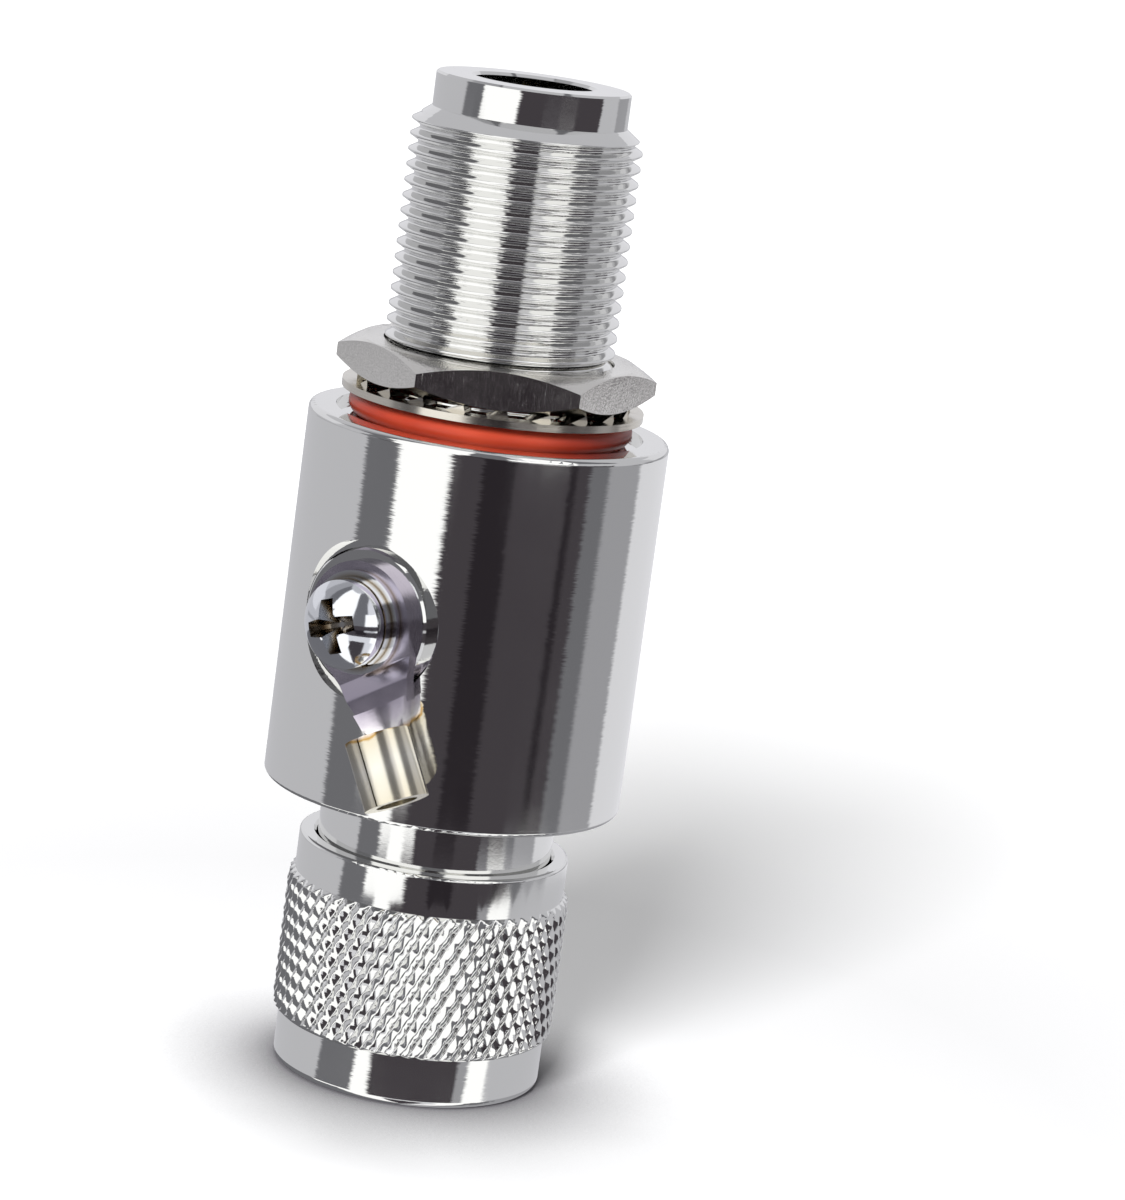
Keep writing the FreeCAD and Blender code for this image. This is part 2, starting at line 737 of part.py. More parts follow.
def build_ground_screw():
    screw = turned_piece("ground_screw", [
        ("0", "screw_tip"),
        ("shank_radius - tip_chamfer", "screw_tip"),
        ("shank_radius", "screw_tip + tip_chamfer"),
        ("shank_radius", "head_seat"),
        ("head_radius - 0.1", "head_seat"),
        ("head_radius", "head_seat + 0.1"),
        ("head_radius", "head_seat + head_side", "head_dome_radius"),
        ("head_flat_radius", "head_seat + head_height"),
        ("0", "head_seat + head_height"),
    ])
    pocket_down(screw, "cross_recess", "head_seat + head_height", "cross_depth",
                lambda sketch: draw_cross(sketch, "cross_span", "cross_width"), "cross_taper")
    on_screw_axis(screw, "20")
    keep("ground_screw", screw)


def build_washers():
    flat = turned_piece("flat_washer", [
        ("washer_hole_radius", "lug_face"),
        ("flat_washer_radius", "lug_face"),
        ("flat_washer_radius", "flat_washer_face"),
        ("washer_hole_radius", "flat_washer_face"),
    ])
    on_screw_axis(flat)
    keep("flat_washer", flat)
    split = turned_piece("split_washer", [
        ("washer_hole_radius", "flat_washer_face"),
        ("split_washer_radius", "flat_washer_face"),
        ("split_washer_radius", "head_seat"),
        ("washer_hole_radius", "head_seat"),
    ], "360 - split_angle")
    on_screw_axis(split, "split_turn + split_angle / 2")
    keep("split_washer", split)


def cylinder(name, radius, height):
    item = document.addObject("Part::Cylinder", name)
    item.setExpression("Radius", bound(radius))
    item.setExpression("Height", bound(height))
    return item


def box(name, length, width, height):
    item = document.addObject("Part::Box", name)
    for size, text in (("Length", length), ("Width", width), ("Height", height)):
        item.setExpression(size, bound(text))
    return item


def join(kind, name, first, second):
    item = document.addObject(f"Part::{kind}", name)
    item.Base = first
    item.Tool = second
    return item


def fillet_bends(body, name, bends, radius):
    """Rounds the edges across a bent sheet, each given by its (x, z) place."""
    document.recompute()
    base = body.Tip
    edges = []
    for index, edge in enumerate(base.Shape.Edges, start=1):
        ends = [vertex.Point for vertex in edge.Vertexes]
        for across, up in bends:
            place = FreeCAD.Vector(value(across), 0, value(up))
            if len(ends) == 2 and all(math.hypot(p.x - place.x, p.z - place.z) < 0.001 for p in ends):
                edges.append(f"Edge{index}")
    fillet = body.newObject("PartDesign::Fillet", name)
    fillet.Base = (base, edges)
    fillet.Radius = value(radius)
    fillet.setExpression("Radius", bound(radius))
    body.Tip = fillet


def lug_plan():
    """The lug's sheet seen from above: a ring that runs tangent into a tongue."""
    body = new_body("lug_plan")
    sketch = new_sketch(body, "lug_plan_outline", "XY_Plane")
    radius, far, wide = value("lug_ring_radius"), value("crimp_reach"), value("tongue_half_width")
    lean = math.atan2(wide, far) + math.acos(radius / math.hypot(far, wide))
    touch = FreeCAD.Vector(radius * math.cos(lean), radius * math.sin(lean), 0)
    circle = Part.Circle(FreeCAD.Vector(0, 0, 0), FreeCAD.Vector(0, 0, 1), radius)
    ring = sketch.addGeometry(Part.ArcOfCircle(circle, lean, 2 * math.pi - lean), False)
    upper_end = FreeCAD.Vector(far, wide, 0)
    lower_end = FreeCAD.Vector(far, -wide, 0)
    upper = sketch.addGeometry(Part.LineSegment(upper_end, touch), False)
    lower = sketch.addGeometry(Part.LineSegment(FreeCAD.Vector(touch.x, -touch.y, 0), lower_end), False)
    end = sketch.addGeometry(Part.LineSegment(lower_end, upper_end), False)
    sketch.addConstraint(Sketcher.Constraint("Coincident", ring, 3, -1, 1))
    index = sketch.addConstraint(Sketcher.Constraint("Radius", ring, radius))
    sketch.setExpression(f"Constraints[{index}]", bound("lug_ring_radius"))
    sketch.addConstraint(Sketcher.Constraint("Tangent", upper, 2, ring, 1))
    sketch.addConstraint(Sketcher.Constraint("Tangent", lower, 1, ring, 2))
    sketch.addConstraint(Sketcher.Constraint("Coincident", lower, 2, end, 1))
    sketch.addConstraint(Sketcher.Constraint("Coincident", end, 2, upper, 1))
    pin_point(sketch, upper, 1, "crimp_reach", "tongue_half_width")
    pin_point(sketch, lower, 2, "crimp_reach", "-(tongue_half_width)")
    draw_circle(sketch, "0", "0", "lug_hole_radius")
    return padded(body, "lug_plan_pad", sketch, "lug_thickness * 10")


def lug_side():
    """The lug's sheet seen from its edge: flat under the washer, then stepped up by the joggle."""
    body = new_body("lug_side")
    sketch = new_sketch(body, "lug_side_outline", "XZ_Plane")
    back = "-(lug_ring_radius * 1.2)"
    step_end = "joggle_start + joggle_run"
    mitre = "lug_thickness * tan(atan(joggle_rise / joggle_run) / 2)"
    top = "joggle_rise + lug_thickness"
    draw_outline(sketch, [
        (back, "0"),
        ("joggle_start", "0"),
        (step_end, "joggle_rise"),
        ("throat_foot + tongue_lap", "joggle_rise"),
        ("throat_foot + tongue_lap", top),
        (f"{step_end} - {mitre}", top),
        (f"joggle_start - {mitre}", "lug_thickness"),
        (back, "lug_thickness"),
    ])
    padded(body, "lug_side_pad", sketch, "lug_ring_radius * 3")
    outer_bends = [("joggle_start", "0"), (f"{step_end} - {mitre}", top)]
    inner_bends = [(step_end, "joggle_rise"), (f"joggle_start - {mitre}", "lug_thickness")]
    fillet_bends(body, "outer_bends", outer_bends, "bend_radius + lug_thickness")
    fillet_bends(body, "inner_bends", inner_bends, "bend_radius")
    return body


def padded(body, name, sketch, thickness):
    pad = body.newObject("PartDesign::Pad", name)
    pad.Profile = sketch
    pad.Length = value(thickness)
    pad.setExpression("Length", bound(thickness))
    pad.Midplane = True
    body.Tip = pad
    return body


def crimp_section(name, radius, wall, along):
    """A circle across the crimp, whose lowest point stays on the tongue's underside."""
    circle = document.addObject("Part::Circle", name)
    circle.setExpression("Radius", bound(f"{radius} - {wall}"))
    circle.Placement.Rotation = FreeCAD.Rotation(FreeCAD.Vector(0, 0, 1), 180)
    circle.setExpression("Placement.Base.x", bound(f"-({radius})"))
    circle.setExpression("Placement.Base.z", bound(along))
    return circle


def gutter_limit():
    """The room of the throat, which narrows as the tongue does."""
    body = new_body("gutter_limit")
    sketch = new_sketch(body, "gutter_limit_outline", "YZ_Plane")
    draw_outline(sketch, [
        ("-(gutter_half_width)", "0"),
        ("gutter_half_width", "0"),
        ("tongue_half_width", "throat_length"),
        ("-(tongue_half_width)", "throat_length"),
    ])
    return padded(body, "gutter_limit_pad", sketch, "(lug_thickness + gutter_rise) * 2")


def gutter():
    """The throat where the flat tongue starts to curl, as wide as the tongue."""
    lofts = []
    for name, wall in (("gutter_outside", "0"), ("gutter_inside", "lug_thickness")):
        loft = document.addObject("Part::Loft", name)
        loft.Sections = [crimp_section(f"{name}_wide", "throat_radius", wall, "0"),
                         crimp_section(f"{name}_end", "crimp_radius", wall, "throat_length")]
        loft.Solid = True
        loft.Ruled = True
        lofts.append(loft)
    return join("Common", "gutter", join("Cut", "gutter_shell", *lofts), gutter_limit())


def wire_barrel():
    """The rolled end along its own Z: a gutter, then a tube cut square, with a butt seam on top."""
    outside = cylinder("crimp_outside", "crimp_radius", "crimp_length")
    inside = cylinder("crimp_inside", "crimp_radius - lug_thickness", "crimp_length")
    for item in (outside, inside):
        item.setExpression("Placement.Base.x", bound("-(crimp_radius)"))
        item.setExpression("Placement.Base.z", bound("throat_length"))
    seam = box("crimp_seam", "lug_thickness * 2", "seam_width", "crimp_length")
    seam.setExpression("Placement.Base.x", bound("-(crimp_radius * 2 + lug_thickness / 2)"))
    seam.setExpression("Placement.Base.y", bound("-(seam_width / 2)"))
    seam.setExpression("Placement.Base.z", bound("throat_length"))
    open_tube = join("Cut", "open_tube", join("Cut", "crimp_tube", outside, inside), seam)
    return join("Fuse", "wire_barrel", open_tube, gutter())


def build_ground_lug():
    """A ring terminal bent from sheet, its own X along the tongue and its own Z away from the plug."""
    blade = join("Common", "lug_blade", lug_plan(), lug_side())
    barrel = wire_barrel()
    # The barrel stands a hair above the tongue's underside, so the two never share a tangent line
    lift = "joggle_rise + barrel_lift"
    barrel.Placement = FreeCAD.Placement(
        FreeCAD.Vector(value("throat_foot"), 0, value(lift)),
        FreeCAD.Rotation(FreeCAD.Vector(0, 1, 0), 90 - value("crimp_tilt")))
    barrel.setExpression("Placement.Base.x", bound("throat_foot"))
    barrel.setExpression("Placement.Base.z", bound(lift))
    barrel.setExpression("Placement.Rotation.Angle", bound("90 - crimp_tilt"))
    lug = join("Fuse", "ground_lug", blade, barrel)
    on_screw_axis(lug, "lug_turn - 90")
    lug.setExpression("Placement.Base.y", bound("-(plug_face)"))
    keep("ground_lug", lug)


def build_hex_nut():
    turned = turned_piece("hex_nut_blank", [
        ("thread_radius + thread_fit", "0"),
        ("hex_face_radius", "0"),
        ("hex_corner_radius + 0.01", "hex_chamfer_drop"),
        ("hex_corner_radius + 0.01", "hex_height - hex_chamfer_drop"),
        ("hex_face_radius", "hex_height"),
        ("thread_radius + thread_fit", "hex_height"),
    ])
    prism = document.addObject("Part::Prism", "hex_nut_flats")
    prism.Polygon = 6
    prism.setExpression("Circumradius", bound("hex_corner_radius"))
    prism.setExpression("Height", bound("hex_height"))
    nut = join("Common", "hex_nut", prism, turned)
    spin = FreeCAD.Rotation(FreeCAD.Vector(0, 0, 1), value("hex_turn - 90"))
    nut.Placement = FreeCAD.Placement(FreeCAD.Vector(0, 0, value("hex_foot")), spin)
    nut.setExpression("Placement.Base.z", bound("hex_foot"))
    keep("hex_nut", nut)


def build_lock_washer():
    """A flat ring whose internal teeth are each twisted about their own length."""
    body = turned_piece("lock_washer", [
        ("lock_inner_radius", "0"),
        ("lock_outer_radius", "0"),
        ("lock_outer_radius", "lock_thickness"),
        ("lock_inner_radius", "lock_thickness"),
    ])
    sketch = new_sketch(body, "tooth_outline", "YZ_Plane")
    half_run = "(tooth_width * cos(tooth_twist) - lock_thickness * sin(tooth_twist)) / 2"
    draw_outline(sketch, [
        (f"-({half_run})", "0"),
        (f"-({half_run}) + tooth_width * cos(tooth_twist)", "tooth_width * sin(tooth_twist)"),
        (f"-({half_run}) + tooth_width * cos(tooth_twist) - lock_thickness * sin(tooth_twist)",
         "tooth_height"),
        (f"-({half_run}) - lock_thickness * sin(tooth_twist)", "lock_thickness * cos(tooth_twist)"),
    ])
    sketch.AttachmentOffset = FreeCAD.Placement(FreeCAD.Vector(0, 0, value("tooth_tip_radius")),
                                                FreeCAD.Rotation())
    sketch.setExpression("AttachmentOffset.Base.z", bound("tooth_tip_radius"))
    tooth = body.newObject("PartDesign::Pad", "tooth")
    tooth.Profile = sketch
    tooth.Length = value("lock_inner_radius + 0.3 - tooth_tip_radius")
    tooth.setExpression("Length", bound("lock_inner_radius + 0.3 - tooth_tip_radius"))
    document.recompute()
    teeth = body.newObject("PartDesign::PolarPattern", "teeth")
    teeth.Originals = [tooth]
    teeth.Axis = (origin_plane(body, "Z_Axis"), [""])
    teeth.Angle = 360
    teeth.Occurrences = int(value("tooth_count"))
    teeth.setExpression("Occurrences", bound("tooth_count"))
    body.Tip = teeth
    body.Placement = FreeCAD.Placement(FreeCAD.Vector(0, 0, value("lock_foot")), FreeCAD.Rotation())
    body.setExpression("Placement.Base.z", bound("lock_foot"))
    keep("lock_washer", body)


build_housing()
build_plug_body()
build_coupling_nut()
build_retaining_ring()
build_plug_gasket()
build_line()
build_insulators()
build_gas_tube()
build_gas_tube_plug()
build_seals()
build_ground_screw()
build_washers()
build_ground_lug()
build_hex_nut()
build_lock_washer()

document.recompute()
for item in document.Objects:
    if "Invalid" in item.State or "Error" in item.State:
        raise RuntimeError(f"{item.Name} failed: {item.State}")

os.makedirs("parts", exist_ok=True)
for piece_name, piece in pieces.items():
    shape = piece.Shape
    if shape.isNull() or not shape.isValid() or not shape.Solids:
        raise RuntimeError(f"{piece_name} has no valid solid")
    shape.exportStep(f"parts/{piece_name}.step")
    print(piece_name, len(shape.Solids), round(shape.Volume, 2))
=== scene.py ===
import math

import bmesh
import bpy
from mathutils import Matrix, Vector


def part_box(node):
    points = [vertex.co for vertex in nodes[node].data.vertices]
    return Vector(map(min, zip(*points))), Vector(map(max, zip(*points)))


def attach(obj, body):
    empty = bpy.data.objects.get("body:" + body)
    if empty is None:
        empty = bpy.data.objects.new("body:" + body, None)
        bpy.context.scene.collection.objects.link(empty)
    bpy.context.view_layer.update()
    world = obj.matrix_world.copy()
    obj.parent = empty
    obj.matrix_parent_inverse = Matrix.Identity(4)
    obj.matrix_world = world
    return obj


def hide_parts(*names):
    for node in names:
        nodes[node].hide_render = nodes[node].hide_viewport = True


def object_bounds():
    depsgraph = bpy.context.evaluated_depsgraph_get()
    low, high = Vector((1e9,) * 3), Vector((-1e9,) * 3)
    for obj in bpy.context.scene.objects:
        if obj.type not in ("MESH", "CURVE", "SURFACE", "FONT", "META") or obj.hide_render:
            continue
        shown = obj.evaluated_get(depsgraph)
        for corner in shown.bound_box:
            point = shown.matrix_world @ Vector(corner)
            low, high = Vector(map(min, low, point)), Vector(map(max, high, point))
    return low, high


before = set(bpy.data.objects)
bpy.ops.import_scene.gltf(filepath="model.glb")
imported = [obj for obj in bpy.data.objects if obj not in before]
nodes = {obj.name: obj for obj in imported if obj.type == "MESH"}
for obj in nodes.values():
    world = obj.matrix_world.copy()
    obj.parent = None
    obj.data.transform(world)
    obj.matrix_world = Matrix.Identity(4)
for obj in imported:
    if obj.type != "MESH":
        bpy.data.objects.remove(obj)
cad_box = [list(corner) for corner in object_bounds()]


# Camera
# A long lens a little above the barrel, 33 degrees to the right of the ground screw.
# It is rolled, so the upright object leans to the right in the picture.
MM = 0.001
PICTURE_LONG_SIDE = 1200
FOCAL_PIXELS = 4260.7
SENSOR_MM = 36.0
VIEW_TURN = math.radians(33.0)
CAMERA_DISTANCE = 288.17 * MM
CAMERA_HEIGHT = 95.25 * MM
CAMERA_PITCH = math.radians(11.858)
CAMERA_YAW = math.radians(1.311)
CAMERA_ROLL = math.radians(-7.788)

camera_data = bpy.data.cameras.new("camera")
camera_data.sensor_width = SENSOR_MM
camera_data.lens = FOCAL_PIXELS * SENSOR_MM / PICTURE_LONG_SIDE
camera_data.clip_start = 0.01
camera_data.clip_end = 20.0
camera = bpy.data.objects.new("camera", camera_data)
bpy.context.scene.collection.objects.link(camera)
forward = Vector((math.sin(CAMERA_YAW) * math.cos(CAMERA_PITCH),
                  math.cos(CAMERA_YAW) * math.cos(CAMERA_PITCH),
                  -math.sin(CAMERA_PITCH)))
level_right = Vector((math.cos(CAMERA_YAW), -math.sin(CAMERA_YAW), 0.0))
level_up = level_right.cross(forward)
right = math.cos(CAMERA_ROLL) * level_right - math.sin(CAMERA_ROLL) * level_up
up = math.sin(CAMERA_ROLL) * level_right + math.cos(CAMERA_ROLL) * level_up
aim = Matrix((right, up, -forward)).transposed().to_4x4()
around = Matrix.Rotation(VIEW_TURN, 4, "Z")
camera.matrix_world = around @ Matrix.Translation((0.0, -CAMERA_DISTANCE, CAMERA_HEIGHT)) @ aim
bpy.context.scene.camera = camera


# Studio
# A white floor and surround, a soft lamp high on the left and one overhead, and tall panels round the set:
# polished metal shows the panels as upright light and dark bands.
FLOOR_HALF = 1.6
FLOOR_GAP = 0.02 * MM
FLOOR_COLOUR = "#F4F4F5"
AMBIENT = 0.09
KEY_POWER = 4.3
TOP_POWER = 1.5
LAMP_SIZE = 0.20
KEY_PLACE = (-0.144, -0.470, 0.344)
TOP_PLACE = (-0.02, 0.09, 0.60)
LAMP_TARGET = Vector((0.0, 0.0, 0.03))
PANEL_FRONT = -math.pi / 2 + VIEW_TURN
PANEL_POWER = 1.25
# The soft edge of a panel, as a share of the way round, and of a level, as a sine.
PANEL_EDGE = 1.4 / 360
LEVEL_EDGE = 0.0015
# The panels come in seven plain tones, neutral or nearly so.
WHITE = "#FFFFFF"
PALE = "#D0D0D4"
LIGHT = "#B4B4B8"
GREY = "#949498"
DIM = "#68686C"
DARK = "#403C40"
BLACK = "#282428"
# Each level: the sine of the lowest slope at which it is seen, and its panels. Each panel: where it starts,
# in degrees to the right of the camera as the set is seen from above, and its tone.
LEVELS = [
    (-1.0, [(-180, DIM), (-60, WHITE), (-15, DARK), (20, PALE), (35, WHITE), (65, DIM), (100, GREY)]),
    (-0.52, [(-180, DIM), (-85, WHITE), (-15, PALE), (30, WHITE), (80, GREY)]),
    (-0.345, [(-180, LIGHT), (-80, DIM), (-45, WHITE), (-30, DARK), (45, GREY), (55, WHITE), (75, LIGHT)]),
    (-0.267, [(-180, LIGHT), (-80, DIM), (-55, WHITE), (-20, DARK), (0, BLACK), (20, DARK), (55, BLACK),
              (60, DARK), (70, DIM), (85, GREY), (115, PALE)]),
    (-0.157, [(-180, LIGHT), (-140, GREY), (-70, BLACK), (-55, WHITE), (-15, BLACK), (15, LIGHT), (35, WHITE),
              (55, DARK), (90, GREY), (105, DARK), (130, LIGHT)]),
    (-0.106, [(-180, LIGHT), (-85, DIM), (-60, WHITE), (-15, DARK), (90, LIGHT), (120, GREY), (150, LIGHT)]),
    (0.05, [(-180, PALE), (-110, LIGHT), (-80, DIM), (-60, WHITE), (-10, DIM), (15, WHITE), (60, LIGHT),
            (130, PALE)]),
    (0.45, [(-180, LIGHT), (-120, GREY), (-95, DIM), (-70, WHITE), (-10, DIM), (20, PALE), (35, WHITE),
            (65, DIM), (100, LIGHT)]),
]
# The ceiling takes over between these two sines.
CEILING_EDGE = (0.942, 0.950)
CEILING_COLOUR = LIGHT


def linear(text):
    """An sRGB hex colour as linear RGBA."""
    channels = [int(text[i:i + 2], 16) / 255 for i in (1, 3, 5)]
    return [c / 12.92 if c <= 0.04045 else ((c + 0.055) / 1.055) ** 2.4 for c in channels] + [1.0]


def add(tree, kind, values=(), stops=(), **settings):
    """Adds a node with its settings, and the stops of its colour ramp. Values go to its inputs by number or
    name: a socket, or the first output of a node, is linked, and anything else is set."""
    node = tree.nodes.new(kind)
    for name, setting in settings.items():
        setattr(node, name, setting)
    for key, content in values.items() if isinstance(values, dict) else enumerate(values):
        if isinstance(content, bpy.types.Node):
            content = content.outputs[0]
        if isinstance(content, bpy.types.NodeSocket):
            tree.links.new(content, node.inputs[key])
        else:
            node.inputs[key].default_value = content
    for number, (place, text) in enumerate(stops):
        elements = node.color_ramp.elements
        element = elements[number] if number < 2 else elements.new(place)
        element.position = place
        element.color = linear(text)
    return node


def panel_row(tree, share, panels):
    """The colours of one level of panels, by the share of the way round."""
    stops = [(0.0, panels[0][1])]
    for (_, before), (start, after) in zip(panels, panels[1:]):
        place = (start + 180) / 360
        stops += [(place - PANEL_EDGE, before), (place + PANEL_EDGE, after)]
    return add(tree, "ShaderNodeValToRGB", [share], stops)


world = bpy.data.worlds.new("studio")
bpy.context.scene.world = world
world.use_nodes = True
sky = world.node_tree
sky.nodes.clear()
direction = add(sky, "ShaderNodeSeparateXYZ", [add(sky, "ShaderNodeTexCoord").outputs["Generated"]])
slope = direction.outputs["Z"]
bearing = add(sky, "ShaderNodeMath", [direction.outputs["Y"], direction.outputs["X"]], operation="ARCTAN2")
from_behind = add(sky, "ShaderNodeMath", [bearing, PANEL_FRONT - math.pi], operation="SUBTRACT")
turns_round = add(sky, "ShaderNodeMath", [from_behind, 2 * math.pi], operation="DIVIDE")
share_round = add(sky, "ShaderNodeMath", [turns_round], operation="FRACT")
surround = panel_row(sky, share_round, LEVELS[0][1])
for lowest, panels in LEVELS[1:]:
    row = panel_row(sky, share_round, panels)
    above = add(sky, "ShaderNodeMapRange", [slope, lowest - LEVEL_EDGE, lowest + LEVEL_EDGE])
    surround = add(sky, "ShaderNodeMix", {"Factor": above, 6: surround, 7: row}, data_type="RGBA").outputs[2]
overhead = add(sky, "ShaderNodeMapRange", [slope, *CEILING_EDGE])
surround = add(sky, "ShaderNodeMix", {"Factor": overhead, 6: surround, 7: linear(CEILING_COLOUR)},
               data_type="RGBA").outputs[2]
seen_in_metal = add(sky, "ShaderNodeBackground", [surround, PANEL_POWER])
open_air = add(sky, "ShaderNodeBackground", [linear("#FFFFFF"), AMBIENT])
backdrop = add(sky, "ShaderNodeBackground", [linear("#FFFFFF"), 1.0])
rays = add(sky, "ShaderNodeLightPath").outputs
light_or_metal = add(sky, "ShaderNodeMixShader", [rays["Is Glossy Ray"], open_air, seen_in_metal])
everything = add(sky, "ShaderNodeMixShader", [rays["Is Camera Ray"], light_or_metal, backdrop])
add(sky, "ShaderNodeOutputWorld", [everything])

for name, power, stand in (("key_lamp", KEY_POWER, KEY_PLACE), ("top_lamp", TOP_POWER, TOP_PLACE)):
    lamp_data = bpy.data.lights.new(name, "AREA")
    lamp_data.energy = power
    lamp_data.size = LAMP_SIZE
    lamp = bpy.data.objects.new(name, lamp_data)
    bpy.context.scene.collection.objects.link(lamp)
    lamp_place = around @ Vector(stand)
    lamp_turn = (LAMP_TARGET - lamp_place).to_track_quat("-Z", "Y").to_matrix().to_4x4()
    lamp.matrix_world = Matrix.Translation(lamp_place) @ lamp_turn
    lamp.visible_glossy = False


def blank_material(name):
    """A new material without nodes, as (material, its tree)."""
    material = bpy.data.materials.new(name)
    material.use_nodes = True
    material.node_tree.nodes.clear()
    return material, material.node_tree


# Matte white paper with a painted shadow: its colour is darkened round the foot, where little light reaches
# it, and it fades to pure white further out.
PAINTED_SHADE_REACH = 0.022
PAINTED_SHADE_COLOUR = "#77757A"
FADE_START = 0.05
FADE_END = 0.30
paper, tree = blank_material("white_paper")
# Painted shadow: the paper's colour turns grey where the object blocks the surrounding light near the foot.
occlusion_for_painted_shade = add(tree, "ShaderNodeAmbientOcclusion", {"Distance": PAINTED_SHADE_REACH}, samples=8).outputs["AO"]
paper_painted_shadow = add(tree, "ShaderNodeValToRGB", [occlusion_for_painted_shade], [(0.45, PAINTED_SHADE_COLOUR), (0.86, FLOOR_COLOUR)])
matte = add(tree, "ShaderNodeBsdfDiffuse", [paper_painted_shadow])
place = add(tree, "ShaderNodeTexCoord").outputs["Object"]
reach = add(tree, "ShaderNodeVectorMath", [place], operation="LENGTH").outputs["Value"]
fade = add(tree, "ShaderNodeMapRange", [reach, FADE_START, FADE_END, 0.0, 1.0])
lift = add(tree, "ShaderNodeEmission", [linear("#FFFFFF"), fade])
unlit = add(tree, "ShaderNodeEmission", {"Strength": 0.0})
seen = add(tree, "ShaderNodeLightPath").outputs["Is Camera Ray"]
glow = add(tree, "ShaderNodeMixShader", [seen, unlit, lift])
both = add(tree, "ShaderNodeAddShader", [matte, glow])
add(tree, "ShaderNodeOutputMaterial", [both])
floor_mesh = bpy.data.meshes.new("floor")
low = cad_box[0][2] - FLOOR_GAP
floor_mesh.from_pydata([(-FLOOR_HALF, -FLOOR_HALF, low), (FLOOR_HALF, -FLOOR_HALF, low),
                        (FLOOR_HALF, FLOOR_HALF, low), (-FLOOR_HALF, FLOOR_HALF, low)], [], [(0, 1, 2, 3)])
floor_mesh.materials.append(paper)
floor = bpy.data.objects.new("floor", floor_mesh)
bpy.context.scene.collection.objects.link(floor)
floor.visible_glossy = False

bpy.context.scene.view_settings.view_transform = "Standard"


# Housing
# One turned brass body, bright nickel plated: the barrel, its flat for the screw and the threaded neck.
# The neck's thread, 24 turns to the inch, starts above the recess and runs out through the lead-in cone.
THREAD_PITCH = 1.0583 * MM
THREAD_DEPTH = 0.6 * MM
THREAD_START = 48.4 * MM
NECK_COLUMNS = 144
ROWS_PER_TURN = 20
# The share of half a turn at which a groove's floor ends and its crest begins.
GROOVE_FLOOR = 0.20
GROOVE_CREST = 0.86
NECK_RADIUS = 7.9 * MM
LIP_RADIUS = 6.65 * MM
LEAD_IN_HEIGHT = 0.95 * MM
# A drawn wall stops this far short of the rims that it is joined to.
SEAM = 0.02 * MM
# How far apart two corners may be and still count as one, as on the same radius, or as on the same rim.
WELD = 1e-6
ON_RADIUS = 5e-6
ON_WALL = 4e-6
ON_RIM = 5e-5
# An edge that turns by less than this is smooth.
SMOOTH_LIMIT = math.radians(32)
NICKEL = "#E8E8E6"
# A metal's polish varies between these two shares of its roughness, in patches of about 4 mm.
SMEARS_PER_METRE = 260.0
LEAST_ROUGH = 0.8
MOST_ROUGH = 1.25


def turned_metal(name, colour, roughness, line_height, line_width=0.09, line_run=2.4, grain_height=0.0006,
                 grain_width=0.22, sway=0.0):
    """Plated metal with the fine rings that a cutting tool leaves and a faint grain, sizes in mm. Real rings
    are finer than the picture can show, so they are drawn coarser. Sway is how far, in radians, they wander
    sideways, which frays the edges of what the metal mirrors."""
    material, tree = blank_material(name)
    place = add(tree, "ShaderNodeTexCoord").outputs["Object"]
    stretch = (1000 / line_run, 1000 / line_run, 1000 / line_width)
    along = add(tree, "ShaderNodeMapping", {"Vector": place, "Scale": stretch})
    rings = add(tree, "ShaderNodeTexNoise", {"Vector": along, "Scale": 1.0, "Detail": 3.0})
    grain = add(tree, "ShaderNodeTexNoise", {"Vector": place, "Scale": 1000 / grain_width, "Detail": 2.0})
    grain_lift = add(tree, "ShaderNodeMath", [grain, grain_height], operation="MULTIPLY")
    height = add(tree, "ShaderNodeMath", [rings, line_height, grain_lift], operation="MULTIPLY_ADD")
    facing = add(tree, "ShaderNodeNewGeometry").outputs["Normal"]
    sideways = add(tree, "ShaderNodeVectorMath", [(0.0, 0.0, 1.0), facing], operation="CROSS_PRODUCT")
    drift = add(tree, "ShaderNodeMath", [rings, sway, -0.5 * sway], operation="MULTIPLY_ADD")
    push = add(tree, "ShaderNodeVectorMath", {0: sideways, "Scale": drift}, operation="SCALE")
    swayed = add(tree, "ShaderNodeVectorMath", [facing, push], operation="ADD")
    straight = add(tree, "ShaderNodeVectorMath", [swayed], operation="NORMALIZE")
    smear = add(tree, "ShaderNodeTexNoise", {"Vector": place, "Scale": SMEARS_PER_METRE, "Detail": 2.0})
    rough = add(tree, "ShaderNodeMapRange",
                [smear, 0.3, 0.7, roughness * LEAST_ROUGH, roughness * MOST_ROUGH])
    bump = add(tree, "ShaderNodeBump", {"Height": height, "Strength": 1.0, "Distance": MM,
                                        "Normal": straight})
    shader = add(tree, "ShaderNodeBsdfPrincipled", {"Base Color": linear(colour), "Metallic": 1.0,
                                                    "Roughness": rough, "Normal": bump})
    add(tree, "ShaderNodeOutputMaterial", {"Surface": shader})
    return material


# Bright nickel over polished brass: a clear mirror whose bands have frayed edges.
polished_nickel = turned_metal("polished_nickel_plate", NICKEL, 0.05, 0.0001, line_width=0.07,
                                line_run=1.1, grain_height=0.0002, sway=0.075)
# The same plate over a cut thread: a little softer, with rings that show as fine lines.
cut_nickel = turned_metal("plated_cut_thread", NICKEL, 0.08, 0.0003, line_run=1.1, sway=0.12)


def input_tree(name, inputs):
    """A new tree of nodes for a mesh, with named number inputs and a material, as (tree, its inputs)."""
    tree = bpy.data.node_groups.new(name, "GeometryNodeTree")
    for label in inputs:
        whole = label in ("Columns", "Rows")
        tree.interface.new_socket(label, in_out="INPUT",
                                  socket_type="NodeSocketInt" if whole else "NodeSocketFloat")
    tree.interface.new_socket("Material", in_out="INPUT", socket_type="NodeSocketMaterial")
    tree.interface.new_socket("Geometry", in_out="OUTPUT", socket_type="NodeSocketGeometry")
    return tree, tree.nodes.new("NodeGroupInput").outputs


